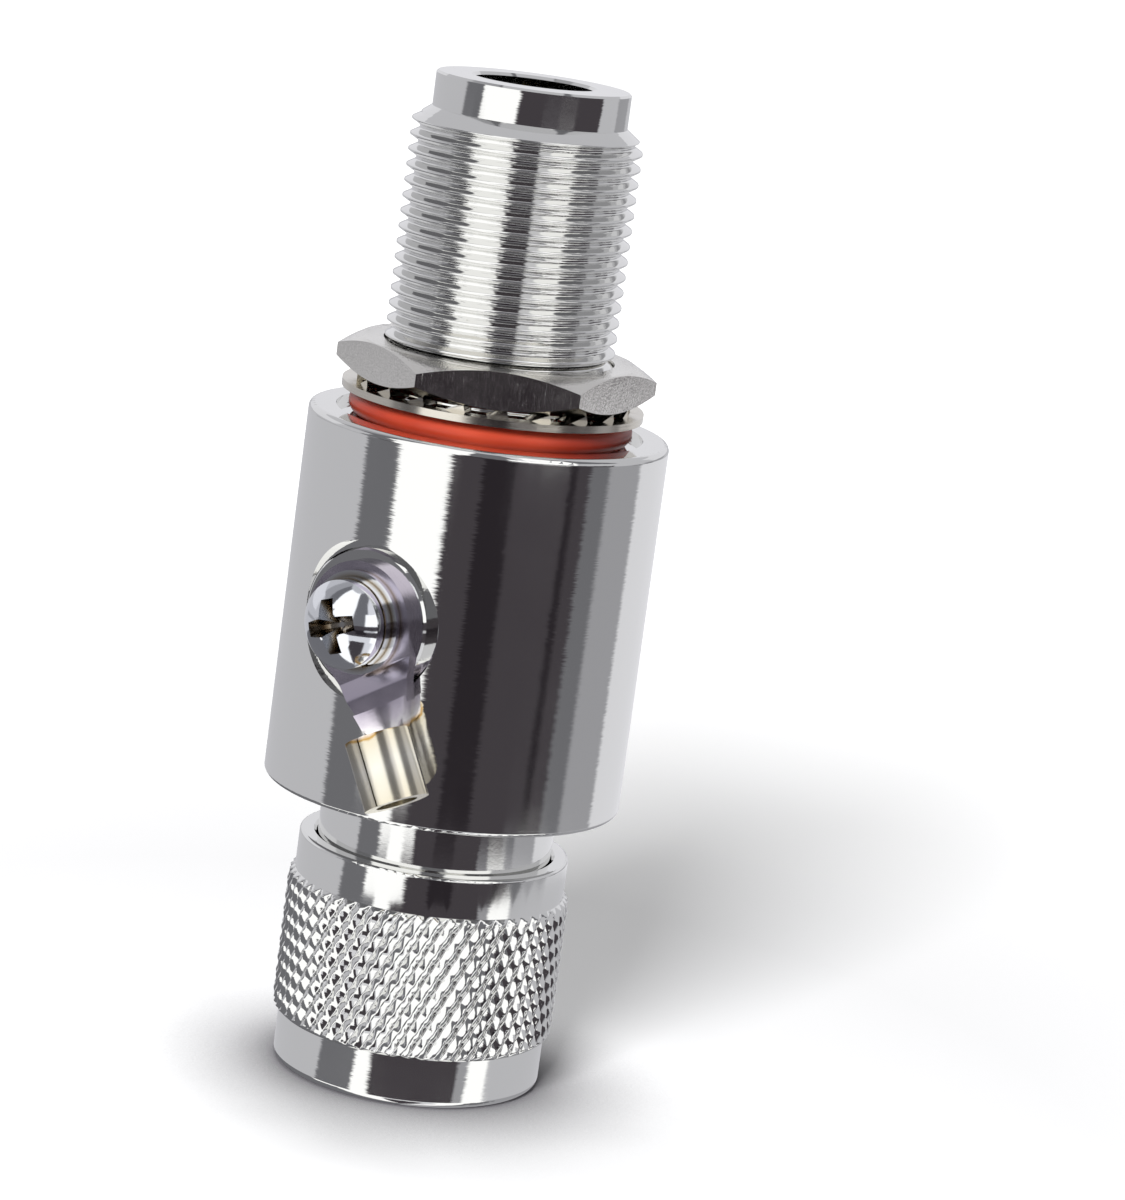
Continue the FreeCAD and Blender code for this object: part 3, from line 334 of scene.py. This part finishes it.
def rolled_sheet(tree, given):
    """A flat grid whose X is the angle and Y the height, as (mesh, angle, height) sockets."""
    columns = add(tree, "ShaderNodeMath", [given["Columns"], 1], operation="ADD")
    rows = add(tree, "ShaderNodeMath", [given["Rows"], 1], operation="ADD")
    grid = add(tree, "GeometryNodeMeshGrid", {"Size X": 2 * math.pi, "Size Y": given["Length"],
                                              "Vertices X": columns, "Vertices Y": rows})
    flat = add(tree, "ShaderNodeSeparateXYZ", [add(tree, "GeometryNodeInputPosition")]).outputs
    middle = add(tree, "ShaderNodeMath", [given["Length"], 0.5, given["Foot"]], operation="MULTIPLY_ADD")
    height = add(tree, "ShaderNodeMath", [flat["Y"], middle], operation="ADD")
    return grid.outputs["Mesh"], flat["X"], height


def close_sheet(tree, given, mesh, angle, height, radius):
    """Rolls the grid up at the radius, joins its seam and ends the tree."""
    across = add(tree, "ShaderNodeMath", [angle], operation="COSINE")
    along = add(tree, "ShaderNodeMath", [angle], operation="SINE")
    x = add(tree, "ShaderNodeMath", [radius, across], operation="MULTIPLY")
    y = add(tree, "ShaderNodeMath", [radius, along], operation="MULTIPLY")
    place = add(tree, "ShaderNodeCombineXYZ", [x, y, height])
    moved = add(tree, "GeometryNodeSetPosition", {"Geometry": mesh, "Position": place})
    joined = add(tree, "GeometryNodeMergeByDistance", {"Geometry": moved, "Distance": WELD / 10})
    real = add(tree, "GeometryNodeRealizeInstances", [joined])
    dressed = add(tree, "GeometryNodeSetMaterial", {"Geometry": real, "Material": given["Material"]})
    add(tree, "NodeGroupOutput", [dressed])


def thread_tree():
    """A cylinder wall with a right-hand thread that starts above its foot and runs out through a cone."""
    tree, given = input_tree("thread_wall", ["Foot", "Length", "Radius", "Depth", "Pitch", "Start", "Fade",
                                             "Cone Radius", "Cone Slope", "Columns", "Rows"])
    mesh, angle, height = rolled_sheet(tree, given)
    above_start = add(tree, "ShaderNodeMath", [height, given["Start"]], operation="SUBTRACT")
    risen = add(tree, "ShaderNodeMath", [above_start, given["Pitch"]], operation="DIVIDE")
    turned = add(tree, "ShaderNodeMath", [angle, 2 * math.pi], operation="DIVIDE")
    turns = add(tree, "ShaderNodeMath", [risen, turned], operation="SUBTRACT")
    shifted = add(tree, "ShaderNodeMath", [turns, 0.5], operation="ADD")
    phase = add(tree, "ShaderNodeMath", [shifted], operation="FRACT")
    sawtooth = add(tree, "ShaderNodeMath", [phase, 2.0, -1.0], operation="MULTIPLY_ADD")
    wave = add(tree, "ShaderNodeMath", [sawtooth], operation="ABSOLUTE")
    groove = add(tree, "ShaderNodeMapRange", [wave, GROOVE_FLOOR, GROOVE_CREST, 1.0, 0.0])
    top = add(tree, "ShaderNodeMath", [given["Foot"], given["Length"]], operation="ADD")
    below_top = add(tree, "ShaderNodeMath", [top, height], operation="SUBTRACT")
    foot_fade = add(tree, "ShaderNodeMapRange", [above_start, 0.0, given["Pitch"]])
    top_fade = add(tree, "ShaderNodeMapRange", [below_top, 0.0, given["Fade"]])
    fade = add(tree, "ShaderNodeMath", [foot_fade, top_fade], operation="MULTIPLY")
    full_cut = add(tree, "ShaderNodeMath", [groove, given["Depth"]], operation="MULTIPLY")
    cut = add(tree, "ShaderNodeMath", [full_cut, fade], operation="MULTIPLY")
    cone = add(tree, "ShaderNodeMath", [below_top, given["Cone Slope"], given["Cone Radius"]],
               operation="MULTIPLY_ADD")
    threaded = add(tree, "ShaderNodeMath", [given["Radius"], cut], operation="SUBTRACT")
    radius = add(tree, "ShaderNodeMath", [threaded, cone], operation="MINIMUM")
    close_sheet(tree, given, mesh, angle, height, radius)
    return tree


def wall_from(tree, name, material, sizes):
    """The mesh that a wall tree makes with these sizes."""
    holder = bpy.data.objects.new(name, bpy.data.meshes.new(name))
    bpy.context.scene.collection.objects.link(holder)
    modifier = holder.modifiers.new("wall", "NODES")
    modifier.node_group = tree
    for item in tree.interface.items_tree:
        if item.item_type == "SOCKET" and item.in_out == "INPUT":
            modifier[item.identifier] = material if item.name == "Material" else sizes[item.name]
    evaluated = holder.evaluated_get(bpy.context.evaluated_depsgraph_get())
    mesh = bpy.data.meshes.new_from_object(evaluated)
    bpy.data.objects.remove(holder)
    return mesh


def merged_copy(node_name):
    """A solid's mesh as one closed shell, open for changes."""
    shell = bmesh.new()
    shell.from_mesh(nodes[node_name].data)
    bmesh.ops.remove_doubles(shell, verts=shell.verts, dist=WELD)
    shell.verts.layers.int.new("rolled")
    return shell


def wall_ends(node_name, radius, axis=Matrix.Identity(4)):
    """The lowest and highest points, along an axis, of a solid's corners at this radius from it."""
    inverse = axis.inverted()
    places = [inverse @ vertex.co for vertex in nodes[node_name].data.vertices]
    heights = [place.z for place in places if abs(math.hypot(place.x, place.y) - radius) < ON_RADIUS]
    return min(heights), max(heights)


def swap_wall(shell, wall_mesh, least, most, foot, top, axis=Matrix.Identity(4)):
    """Takes the wall between two radii and two heights out of a shell and joins the new wall to the rims."""
    inverse = axis.inverted()
    places = {vertex: inverse @ vertex.co for vertex in shell.verts}

    def on_wall(vertex):
        place = places[vertex]
        radius = math.hypot(place.x, place.y)
        return (least - ON_WALL < radius < most + ON_WALL
                and foot - ON_WALL < place.z < top + ON_WALL)

    gone = [face for face in shell.faces if all(on_wall(vertex) for vertex in face.verts)]
    bmesh.ops.delete(shell, geom=gone, context="FACES")
    rims = [edge for edge in shell.edges if edge.is_boundary]
    before = set(shell.verts)
    wall_mesh.transform(axis)
    shell.from_mesh(wall_mesh)
    added = {vertex for vertex in shell.verts if vertex not in before}
    rolled = shell.verts.layers.int["rolled"]
    for vertex in added:
        vertex[rolled] = 1
    ends = [edge for edge in shell.edges if edge.is_boundary and edge.verts[0] in added]
    for height in (foot, top):
        pair = [edge for edge in rims + ends
                if abs((inverse @ edge.verts[0].co).z - height) < ON_RIM
                and abs((inverse @ edge.verts[1].co).z - height) < ON_RIM]
        bmesh.ops.bridge_loops(shell, edges=pair)


def weigh_normals(mesh):
    """Lets the large faces set the shading at their edges, so a long wall stays straight beside a round."""
    holder = bpy.data.objects.new("weighing", mesh)
    bpy.context.scene.collection.objects.link(holder)
    modifier = holder.modifiers.new("weigh", "WEIGHTED_NORMAL")
    modifier.keep_sharp = True
    modifier.weight = 100
    weighed = bpy.data.meshes.new_from_object(holder.evaluated_get(bpy.context.evaluated_depsgraph_get()))
    bpy.data.objects.remove(holder)
    return weighed


def finish_piece(shell, name, material, body, replaced, wall_material=None):
    """Makes the shell an object, smooth but for its sharp edges, that rides on a body in place of a solid."""
    bmesh.ops.recalc_face_normals(shell, faces=shell.faces)
    rolled = shell.verts.layers.int["rolled"]
    for face in shell.faces:
        face.smooth = True
        face.material_index = int(bool(wall_material) and all(vertex[rolled] for vertex in face.verts))
    for edge in shell.edges:
        soft = edge.verts[0][rolled] and edge.verts[1][rolled]
        edge.smooth = bool(soft) or (len(edge.link_faces) == 2 and edge.calc_face_angle(0.0) < SMOOTH_LIMIT)
    shell.verts.layers.int.remove(rolled)
    mesh = bpy.data.meshes.new(name)
    shell.to_mesh(mesh)
    shell.free()
    mesh.materials.clear()
    for finish in filter(None, (material, wall_material)):
        mesh.materials.append(finish)
    piece = bpy.data.objects.new(name, weigh_normals(mesh))
    bpy.context.scene.collection.objects.link(piece)
    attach(piece, body)
    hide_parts(replaced)


threads = thread_tree()
neck_foot = wall_ends("housing", NECK_RADIUS)[0]
lip_foot = wall_ends("housing", LIP_RADIUS)[0]
lead_in_slope = (NECK_RADIUS - LIP_RADIUS) / LEAD_IN_HEIGHT
neck_length = lip_foot - neck_foot - 2 * SEAM
neck_wall = wall_from(threads, "neck_wall", cut_nickel, {
    "Foot": neck_foot + SEAM, "Length": neck_length, "Radius": NECK_RADIUS, "Depth": THREAD_DEPTH,
    "Pitch": THREAD_PITCH, "Start": THREAD_START, "Fade": SEAM,
    "Cone Radius": LIP_RADIUS + SEAM * lead_in_slope, "Cone Slope": lead_in_slope,
    "Columns": NECK_COLUMNS, "Rows": round(neck_length / THREAD_PITCH * ROWS_PER_TURN)})
housing_shell = merged_copy("housing")
swap_wall(housing_shell, neck_wall, LIP_RADIUS, NECK_RADIUS, neck_foot, lip_foot)
finish_piece(housing_shell, "threaded_housing", polished_nickel, "arrestor", "housing",
             wall_material=cut_nickel)


# Plug body, its ring and its gasket
# The plug end is a second turned piece, pressed into the housing. A split ring holds the coupling nut on it,
# and a silicone gasket seals its face.
SILICONE_GRAINS_PER_METRE = 2600.0
SILICONE_CLOUDS_PER_METRE = 160.0

# Moulded red silicone: matte, with a soft sheen and a little light inside, and its grain drawn coarser.
silicone, tree = blank_material("red_silicone")
place = add(tree, "ShaderNodeTexCoord").outputs["Object"]
grain = add(tree, "ShaderNodeTexNoise", {"Vector": place, "Scale": SILICONE_GRAINS_PER_METRE, "Detail": 3.0})
cloud = add(tree, "ShaderNodeTexNoise", {"Vector": place, "Scale": SILICONE_CLOUDS_PER_METRE, "Detail": 2.0})
tone = add(tree, "ShaderNodeValToRGB", [cloud], [(0.3, "#A0301D"), (0.7, "#BA442B")])
bump = add(tree, "ShaderNodeBump", {"Height": grain, "Strength": 0.5, "Distance": 0.01 * MM})
shader = add(tree, "ShaderNodeBsdfPrincipled", {"Base Color": tone, "Roughness": 0.38, "Normal": bump,
                                                "Subsurface Weight": 0.15, "Subsurface Scale": 0.6 * MM,
                                                "Subsurface Radius": (1.0, 0.3, 0.2)})
add(tree, "ShaderNodeOutputMaterial", [shader])


def dress(node_name, material, body):
    """Stands a smoothed copy in for a solid whose shape is right."""
    finish_piece(merged_copy(node_name), f"{node_name}_finished", material, body, node_name)


# Stamped spring steel, thinly plated: a warm grey that blurs what it mirrors.
spring_steel = turned_metal("plated_spring_steel", "#D8D3C8", 0.16, 0.002)
dress("plug_body", polished_nickel, "arrestor")
dress("retaining_ring", spring_steel, "arrestor")
dress("plug_gasket", silicone, "arrestor")


# Inner line
# A gold-plated pin, a silver-plated rod and a gold-plated slotted socket, held by two white insulators.
CUT_RING_SPACING = 0.12 * MM

# Gold plate over turned brass: deep yellow, slightly blurred.
gold = turned_metal("gold_plate", "#E3BE6E", 0.14, 0.0012)
# Silver plate: the whitest of the metals here, slightly blurred.
silver = turned_metal("silver_plate", "#EDEBE6", 0.12, 0.0012)
for node_name, material, slot_name in (("pin_contact", gold, "gold_plated_contact"),
                                       ("socket_contact", gold, "gold_plated_contact"),
                                       ("centre_rod", silver, "silver_plated_rod")):
    dress(node_name, material, "arrestor")

# Turned white fluoropolymer: waxy, with the rings of the cut drawn coarser than they are.
fluoropolymer, tree = blank_material("turned_fluoropolymer")
place = add(tree, "ShaderNodeTexCoord").outputs["Object"]
from_axis = add(tree, "ShaderNodeVectorMath", [place, (1.0, 1.0, 0.0)], operation="MULTIPLY")
reach = add(tree, "ShaderNodeVectorMath", [from_axis], operation="LENGTH").outputs["Value"]
ripple = add(tree, "ShaderNodeMath", [reach, 2 * math.pi / CUT_RING_SPACING], operation="MULTIPLY")
rings = add(tree, "ShaderNodeMath", [ripple], operation="SINE")
bump = add(tree, "ShaderNodeBump", {"Height": rings, "Strength": 0.35, "Distance": 0.008 * MM})
shader = add(tree, "ShaderNodeBsdfPrincipled", {"Base Color": linear("#EFEEE9"), "Roughness": 0.42,
                                                "Normal": bump})
add(tree, "ShaderNodeOutputMaterial", [shader])
dress("front_insulator", fluoropolymer, "arrestor")
dress("rear_insulator", fluoropolymer, "arrestor")


# Coupling nut
# A turned nut with a rolled diamond knurl outside, whose rising grooves are the deeper ones,
# and the coupling thread inside. It turns freely on the plug body.

# The knurl: grains round the nut and rows up it, the depths of its grooves, the roundness of a grain's back,
# the slope at its ends, and the mesh's steps on a grain.
KNURL_COUNT = 54
KNURL_ROWS = 9
KNURL_DEEP = 0.31 * MM
KNURL_SHALLOW = 0.11 * MM
KNURL_CROWN = 1.3
KNURL_BEVEL = 1.2
KNURL_STEPS = 8
FOOT_BAND_RADIUS = 9.4 * MM
TOP_BAND_RADIUS = 9.45 * MM
BORE_THREAD_RADIUS = 7.4 * MM
# A cone so wide that it leaves a thread as it is.
NO_CONE = {"Cone Radius": 1.0, "Cone Slope": 0.0}


def knurl_tree():
    """A cylinder wall pressed into rounded grains by rising grooves, which its columns follow, and by
    shallow falling ones."""
    tree, given = input_tree("knurl_wall", ["Foot", "Length", "Radius", "Rising Depth", "Falling Depth",
                                            "Crown", "Rise", "Count", "End Radius", "End Slope", "Columns",
                                            "Rows"])
    mesh, angle, height = rolled_sheet(tree, given)
    above_foot = add(tree, "ShaderNodeMath", [height, given["Foot"]], operation="SUBTRACT")
    below_top = add(tree, "ShaderNodeMath", [given["Length"], above_foot], operation="SUBTRACT")
    along = add(tree, "ShaderNodeMath", [above_foot, given["Rise"]], operation="DIVIDE")
    step = add(tree, "ShaderNodeMath", [2 * math.pi, given["Count"]], operation="DIVIDE")
    leaning = add(tree, "ShaderNodeMath", [along, step, angle], operation="MULTIPLY_ADD")
    rising = add(tree, "ShaderNodeMath", [angle, step], operation="DIVIDE")
    shifted = add(tree, "ShaderNodeMath", [rising, 0.5], operation="ADD")
    phase = add(tree, "ShaderNodeMath", [shifted], operation="FRACT")
    across = add(tree, "ShaderNodeMath", [phase, 2.0, -1.0], operation="MULTIPLY_ADD")
    side = add(tree, "ShaderNodeMath", [across], operation="ABSOLUTE")
    crown = add(tree, "ShaderNodeMath", [side, given["Crown"]], operation="POWER")
    falling = add(tree, "ShaderNodeMath", [along, 2.0, rising], operation="MULTIPLY_ADD")
    turned = add(tree, "ShaderNodeMath", [falling, 2 * math.pi], operation="MULTIPLY")
    wave = add(tree, "ShaderNodeMath", [turned], operation="COSINE")
    swell = add(tree, "ShaderNodeMath", [wave, -0.5, 0.5], operation="MULTIPLY_ADD")
    fall_cut = add(tree, "ShaderNodeMath", [swell, given["Falling Depth"]], operation="MULTIPLY")
    cut = add(tree, "ShaderNodeMath", [crown, given["Rising Depth"], fall_cut], operation="MULTIPLY_ADD")
    pressed = add(tree, "ShaderNodeMath", [given["Radius"], cut], operation="SUBTRACT")
    nearest_end = add(tree, "ShaderNodeMath", [above_foot, below_top], operation="MINIMUM")
    bevel = add(tree, "ShaderNodeMath", [nearest_end, given["End Slope"], given["End Radius"]],
                operation="MULTIPLY_ADD")
    radius = add(tree, "ShaderNodeMath", [pressed, bevel], operation="MINIMUM")
    close_sheet(tree, given, mesh, leaning, height, radius)
    return tree


# Bright nickel over rolled grains: each grain carries its own small highlight.
bright_knurl = turned_metal("bright_nickel_knurl", NICKEL, 0.12, 0.0006)
knurl_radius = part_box("coupling_nut")[1].x
knurl_foot = wall_ends("coupling_nut", FOOT_BAND_RADIUS)[1]
knurl_top = wall_ends("coupling_nut", TOP_BAND_RADIUS)[0]
knurl_length = knurl_top - knurl_foot - 2 * SEAM
knurl_wall = wall_from(knurl_tree(), "knurl_wall", bright_knurl, {
    "Foot": knurl_foot + SEAM, "Length": knurl_length, "Radius": knurl_radius, "Rising Depth": KNURL_DEEP,
    "Falling Depth": KNURL_SHALLOW, "Crown": KNURL_CROWN, "Rise": 2 * knurl_length / KNURL_ROWS,
    "Count": KNURL_COUNT, "End Radius": TOP_BAND_RADIUS + SEAM, "End Slope": KNURL_BEVEL,
    "Columns": 2 * KNURL_COUNT * KNURL_STEPS, "Rows": KNURL_ROWS * KNURL_STEPS})
bore_foot, bore_top = wall_ends("coupling_nut", BORE_THREAD_RADIUS)
bore_wall = wall_from(threads, "coupling_thread", polished_nickel, {
    "Foot": bore_foot + SEAM, "Length": bore_top - bore_foot - 2 * SEAM, "Radius": BORE_THREAD_RADIUS,
    "Depth": -THREAD_DEPTH, "Pitch": THREAD_PITCH, "Start": bore_foot, "Fade": THREAD_PITCH * 0.5, **NO_CONE,
    "Columns": NECK_COLUMNS, "Rows": round((bore_top - bore_foot) / THREAD_PITCH * ROWS_PER_TURN)})
coupling_shell = merged_copy("coupling_nut")
swap_wall(coupling_shell, knurl_wall, FOOT_BAND_RADIUS, knurl_radius, knurl_foot, knurl_top)
swap_wall(coupling_shell, bore_wall, BORE_THREAD_RADIUS, BORE_THREAD_RADIUS, bore_foot, bore_top)
finish_piece(coupling_shell, "knurled_coupling_nut", polished_nickel, "coupling",
             "coupling_nut", wall_material=bright_knurl)


# Gas tube, its spring and its plug
# A ceramic ring between two nickel caps, pushed on to the rod by a cone spring. A turned plug with a seal
# closes the well over it.
SPECKS_PER_METRE = 900.0

# Glazed alumina: cream white and glossy, faintly speckled.
ceramic, tree = blank_material("glazed_ceramic")
place = add(tree, "ShaderNodeTexCoord").outputs["Object"]
speck = add(tree, "ShaderNodeTexNoise", {"Vector": place, "Scale": SPECKS_PER_METRE, "Detail": 4.0})
tone = add(tree, "ShaderNodeValToRGB", [speck], [(0.35, "#E4DACA"), (0.65, "#EDE6DA")])
shader = add(tree, "ShaderNodeBsdfPrincipled", {"Base Color": tone, "Roughness": 0.2})
add(tree, "ShaderNodeOutputMaterial", [shader])
# Drawn nickel caps: greyer and duller than the plate outside.
cap_metal = turned_metal("tube_cap_nickel", "#CFCDC6", 0.22, 0.002)
for node_name, material, slot_name in (("gas_tube_ceramic", ceramic, "tube_ceramic"),
                                       ("gas_tube_inner_electrode", cap_metal, "tube_electrode"),
                                       ("gas_tube_outer_electrode", cap_metal, "tube_electrode"),
                                       ("gas_tube_spring", spring_steel, "washer_steel"),
                                       ("gas_tube_plug", polished_nickel, "nickel_plated_brass"),
                                       ("plug_seal", silicone, "seal_silicone")):
    dress(node_name, material, "arrestor")


# Ground lug
# Stamped from tinned sheet, stepped away from the barrel and rolled to a tube that takes the earth wire.
# The tin is lilac grey on the flat, has a painted white highlight just before the mouth of the tube, and
# turns golden in a narrow band at the mouth.
SCREW_HEIGHT = 33.7 * MM
LUG_REACH = 13.0 * MM
CLOUD_DRIFT = 0.9 * MM
CLOUDS_PER_METRE = 700.0

# Bright tin over stamped brass: a soft mirror, with the rolling marks drawn coarser than they are.
tinned_sheet = turned_metal("tinned_sheet", "#E2DFE6", 0.2, 0.002, line_width=0.5, line_run=0.9,
                            grain_height=0.0015)
tree = tinned_sheet.node_tree
place = add(tree, "ShaderNodeTexCoord").outputs["Object"]
offset = add(tree, "ShaderNodeVectorMath", [place, (0.0, 0.0, -SCREW_HEIGHT)], operation="ADD")
flat = add(tree, "ShaderNodeVectorMath", [offset, (1.0, 0.0, 1.0)], operation="MULTIPLY")
reach = add(tree, "ShaderNodeVectorMath", [flat], operation="LENGTH").outputs["Value"]
cloud = add(tree, "ShaderNodeTexNoise", {"Vector": place, "Scale": CLOUDS_PER_METRE, "Detail": 3.0})
spread = add(tree, "ShaderNodeMath", [cloud, CLOUD_DRIFT, reach], operation="MULTIPLY_ADD")
share_out = add(tree, "ShaderNodeMath", [spread, LUG_REACH], operation="DIVIDE")
# From the screw's axis outwards: the ring, the tongue, a painted white highlight just before the tube, a
# narrow golden band at its mouth, and the tube.
tint_with_painted_highlight = add(tree, "ShaderNodeValToRGB", [share_out],
           [(0.0, "#C9C3CE"), (0.48, "#BBB3C2"), (0.56, "#E2DBE4"), (0.61, "#FFFCFA"), (0.64, "#C79C4C"),
            (0.655, "#E6DDC6"), (0.80, "#F2EEE2"), (1.0, "#E6DEC8")])
tree.links.new(tint_with_painted_highlight.outputs[0], tree.nodes["Principled BSDF"].inputs["Base Color"])
dress("ground_lug", tinned_sheet, "lug")


# Ground screw and its washers
# A pan head machine screw with a cross recess, a split washer and a flat washer, all bright plated.
SCREW_PITCH = 0.5 * MM
SCREW_THREAD_DEPTH = 0.3 * MM
SHANK_RADIUS = 1.46 * MM
SHANK_COLUMNS = 48
RECESS_SHADE_REACH = 0.8 * MM

# Bright zinc over steel: a clear, bluish mirror, with brown painted shade in the recess and the sheltered
# seams, darkest where least light reaches.
bright_screw = turned_metal("bright_plated_steel", "#E8EAEE", 0.08, 0.0006)
tree = bright_screw.node_tree
# Painted shade: the base colour turns dark brown where nearby surfaces block the light, in the recess, under
# the head and washers and in the seams.
occlusion_for_painted_shade = add(tree, "ShaderNodeAmbientOcclusion", {"Distance": RECESS_SHADE_REACH}, samples=8).outputs["AO"]
painted_recess_shade = add(tree, "ShaderNodeValToRGB", [occlusion_for_painted_shade], [(0.30, "#4E3C28"), (0.55, "#B9AE9C"), (0.8, "#E8EAEE")])
tree.links.new(painted_recess_shade.outputs[0], tree.nodes["Principled BSDF"].inputs["Base Color"])
screw_axis = Matrix.Translation((0.0, 0.0, SCREW_HEIGHT)) @ Matrix.Rotation(math.pi / 2, 4, "X")
shank_foot, shank_top = wall_ends("ground_screw", SHANK_RADIUS, screw_axis)
shank_length = shank_top - shank_foot - 2 * SEAM
shank_wall = wall_from(threads, "shank_thread", bright_screw, {
    "Foot": shank_foot + SEAM, "Length": shank_length, "Radius": SHANK_RADIUS, "Depth": SCREW_THREAD_DEPTH,
    "Pitch": SCREW_PITCH, "Start": shank_foot, "Fade": SCREW_PITCH, **NO_CONE, "Columns": SHANK_COLUMNS,
    "Rows": round(shank_length / SCREW_PITCH * ROWS_PER_TURN)})
screw_shell = merged_copy("ground_screw")
swap_wall(screw_shell, shank_wall, SHANK_RADIUS, SHANK_RADIUS, shank_foot, shank_top, screw_axis)
finish_piece(screw_shell, "threaded_ground_screw", bright_screw, "screw", "ground_screw")
dress("flat_washer", bright_screw, "screw_washers")
dress("split_washer", bright_screw, "screw_washers")


# Panel seal, lock washer and nut
# A red silicone ring lies in the barrel's recess, under a washer with twisted inner teeth and a hexagon nut.

# Satin nickel over milled brass: a blurred mirror with upright cutter marks, drawn coarser than they are.
satin_nickel = turned_metal("satin_nickel", "#E6E4DF", 0.14, 0.017, line_width=1.4, line_run=0.13,
                            grain_height=0.004, grain_width=0.17)
dress("panel_o_ring", silicone, "arrestor")
dress("lock_washer", spring_steel, "panel_washer")
dress("hex_nut", satin_nickel, "panel_nut")
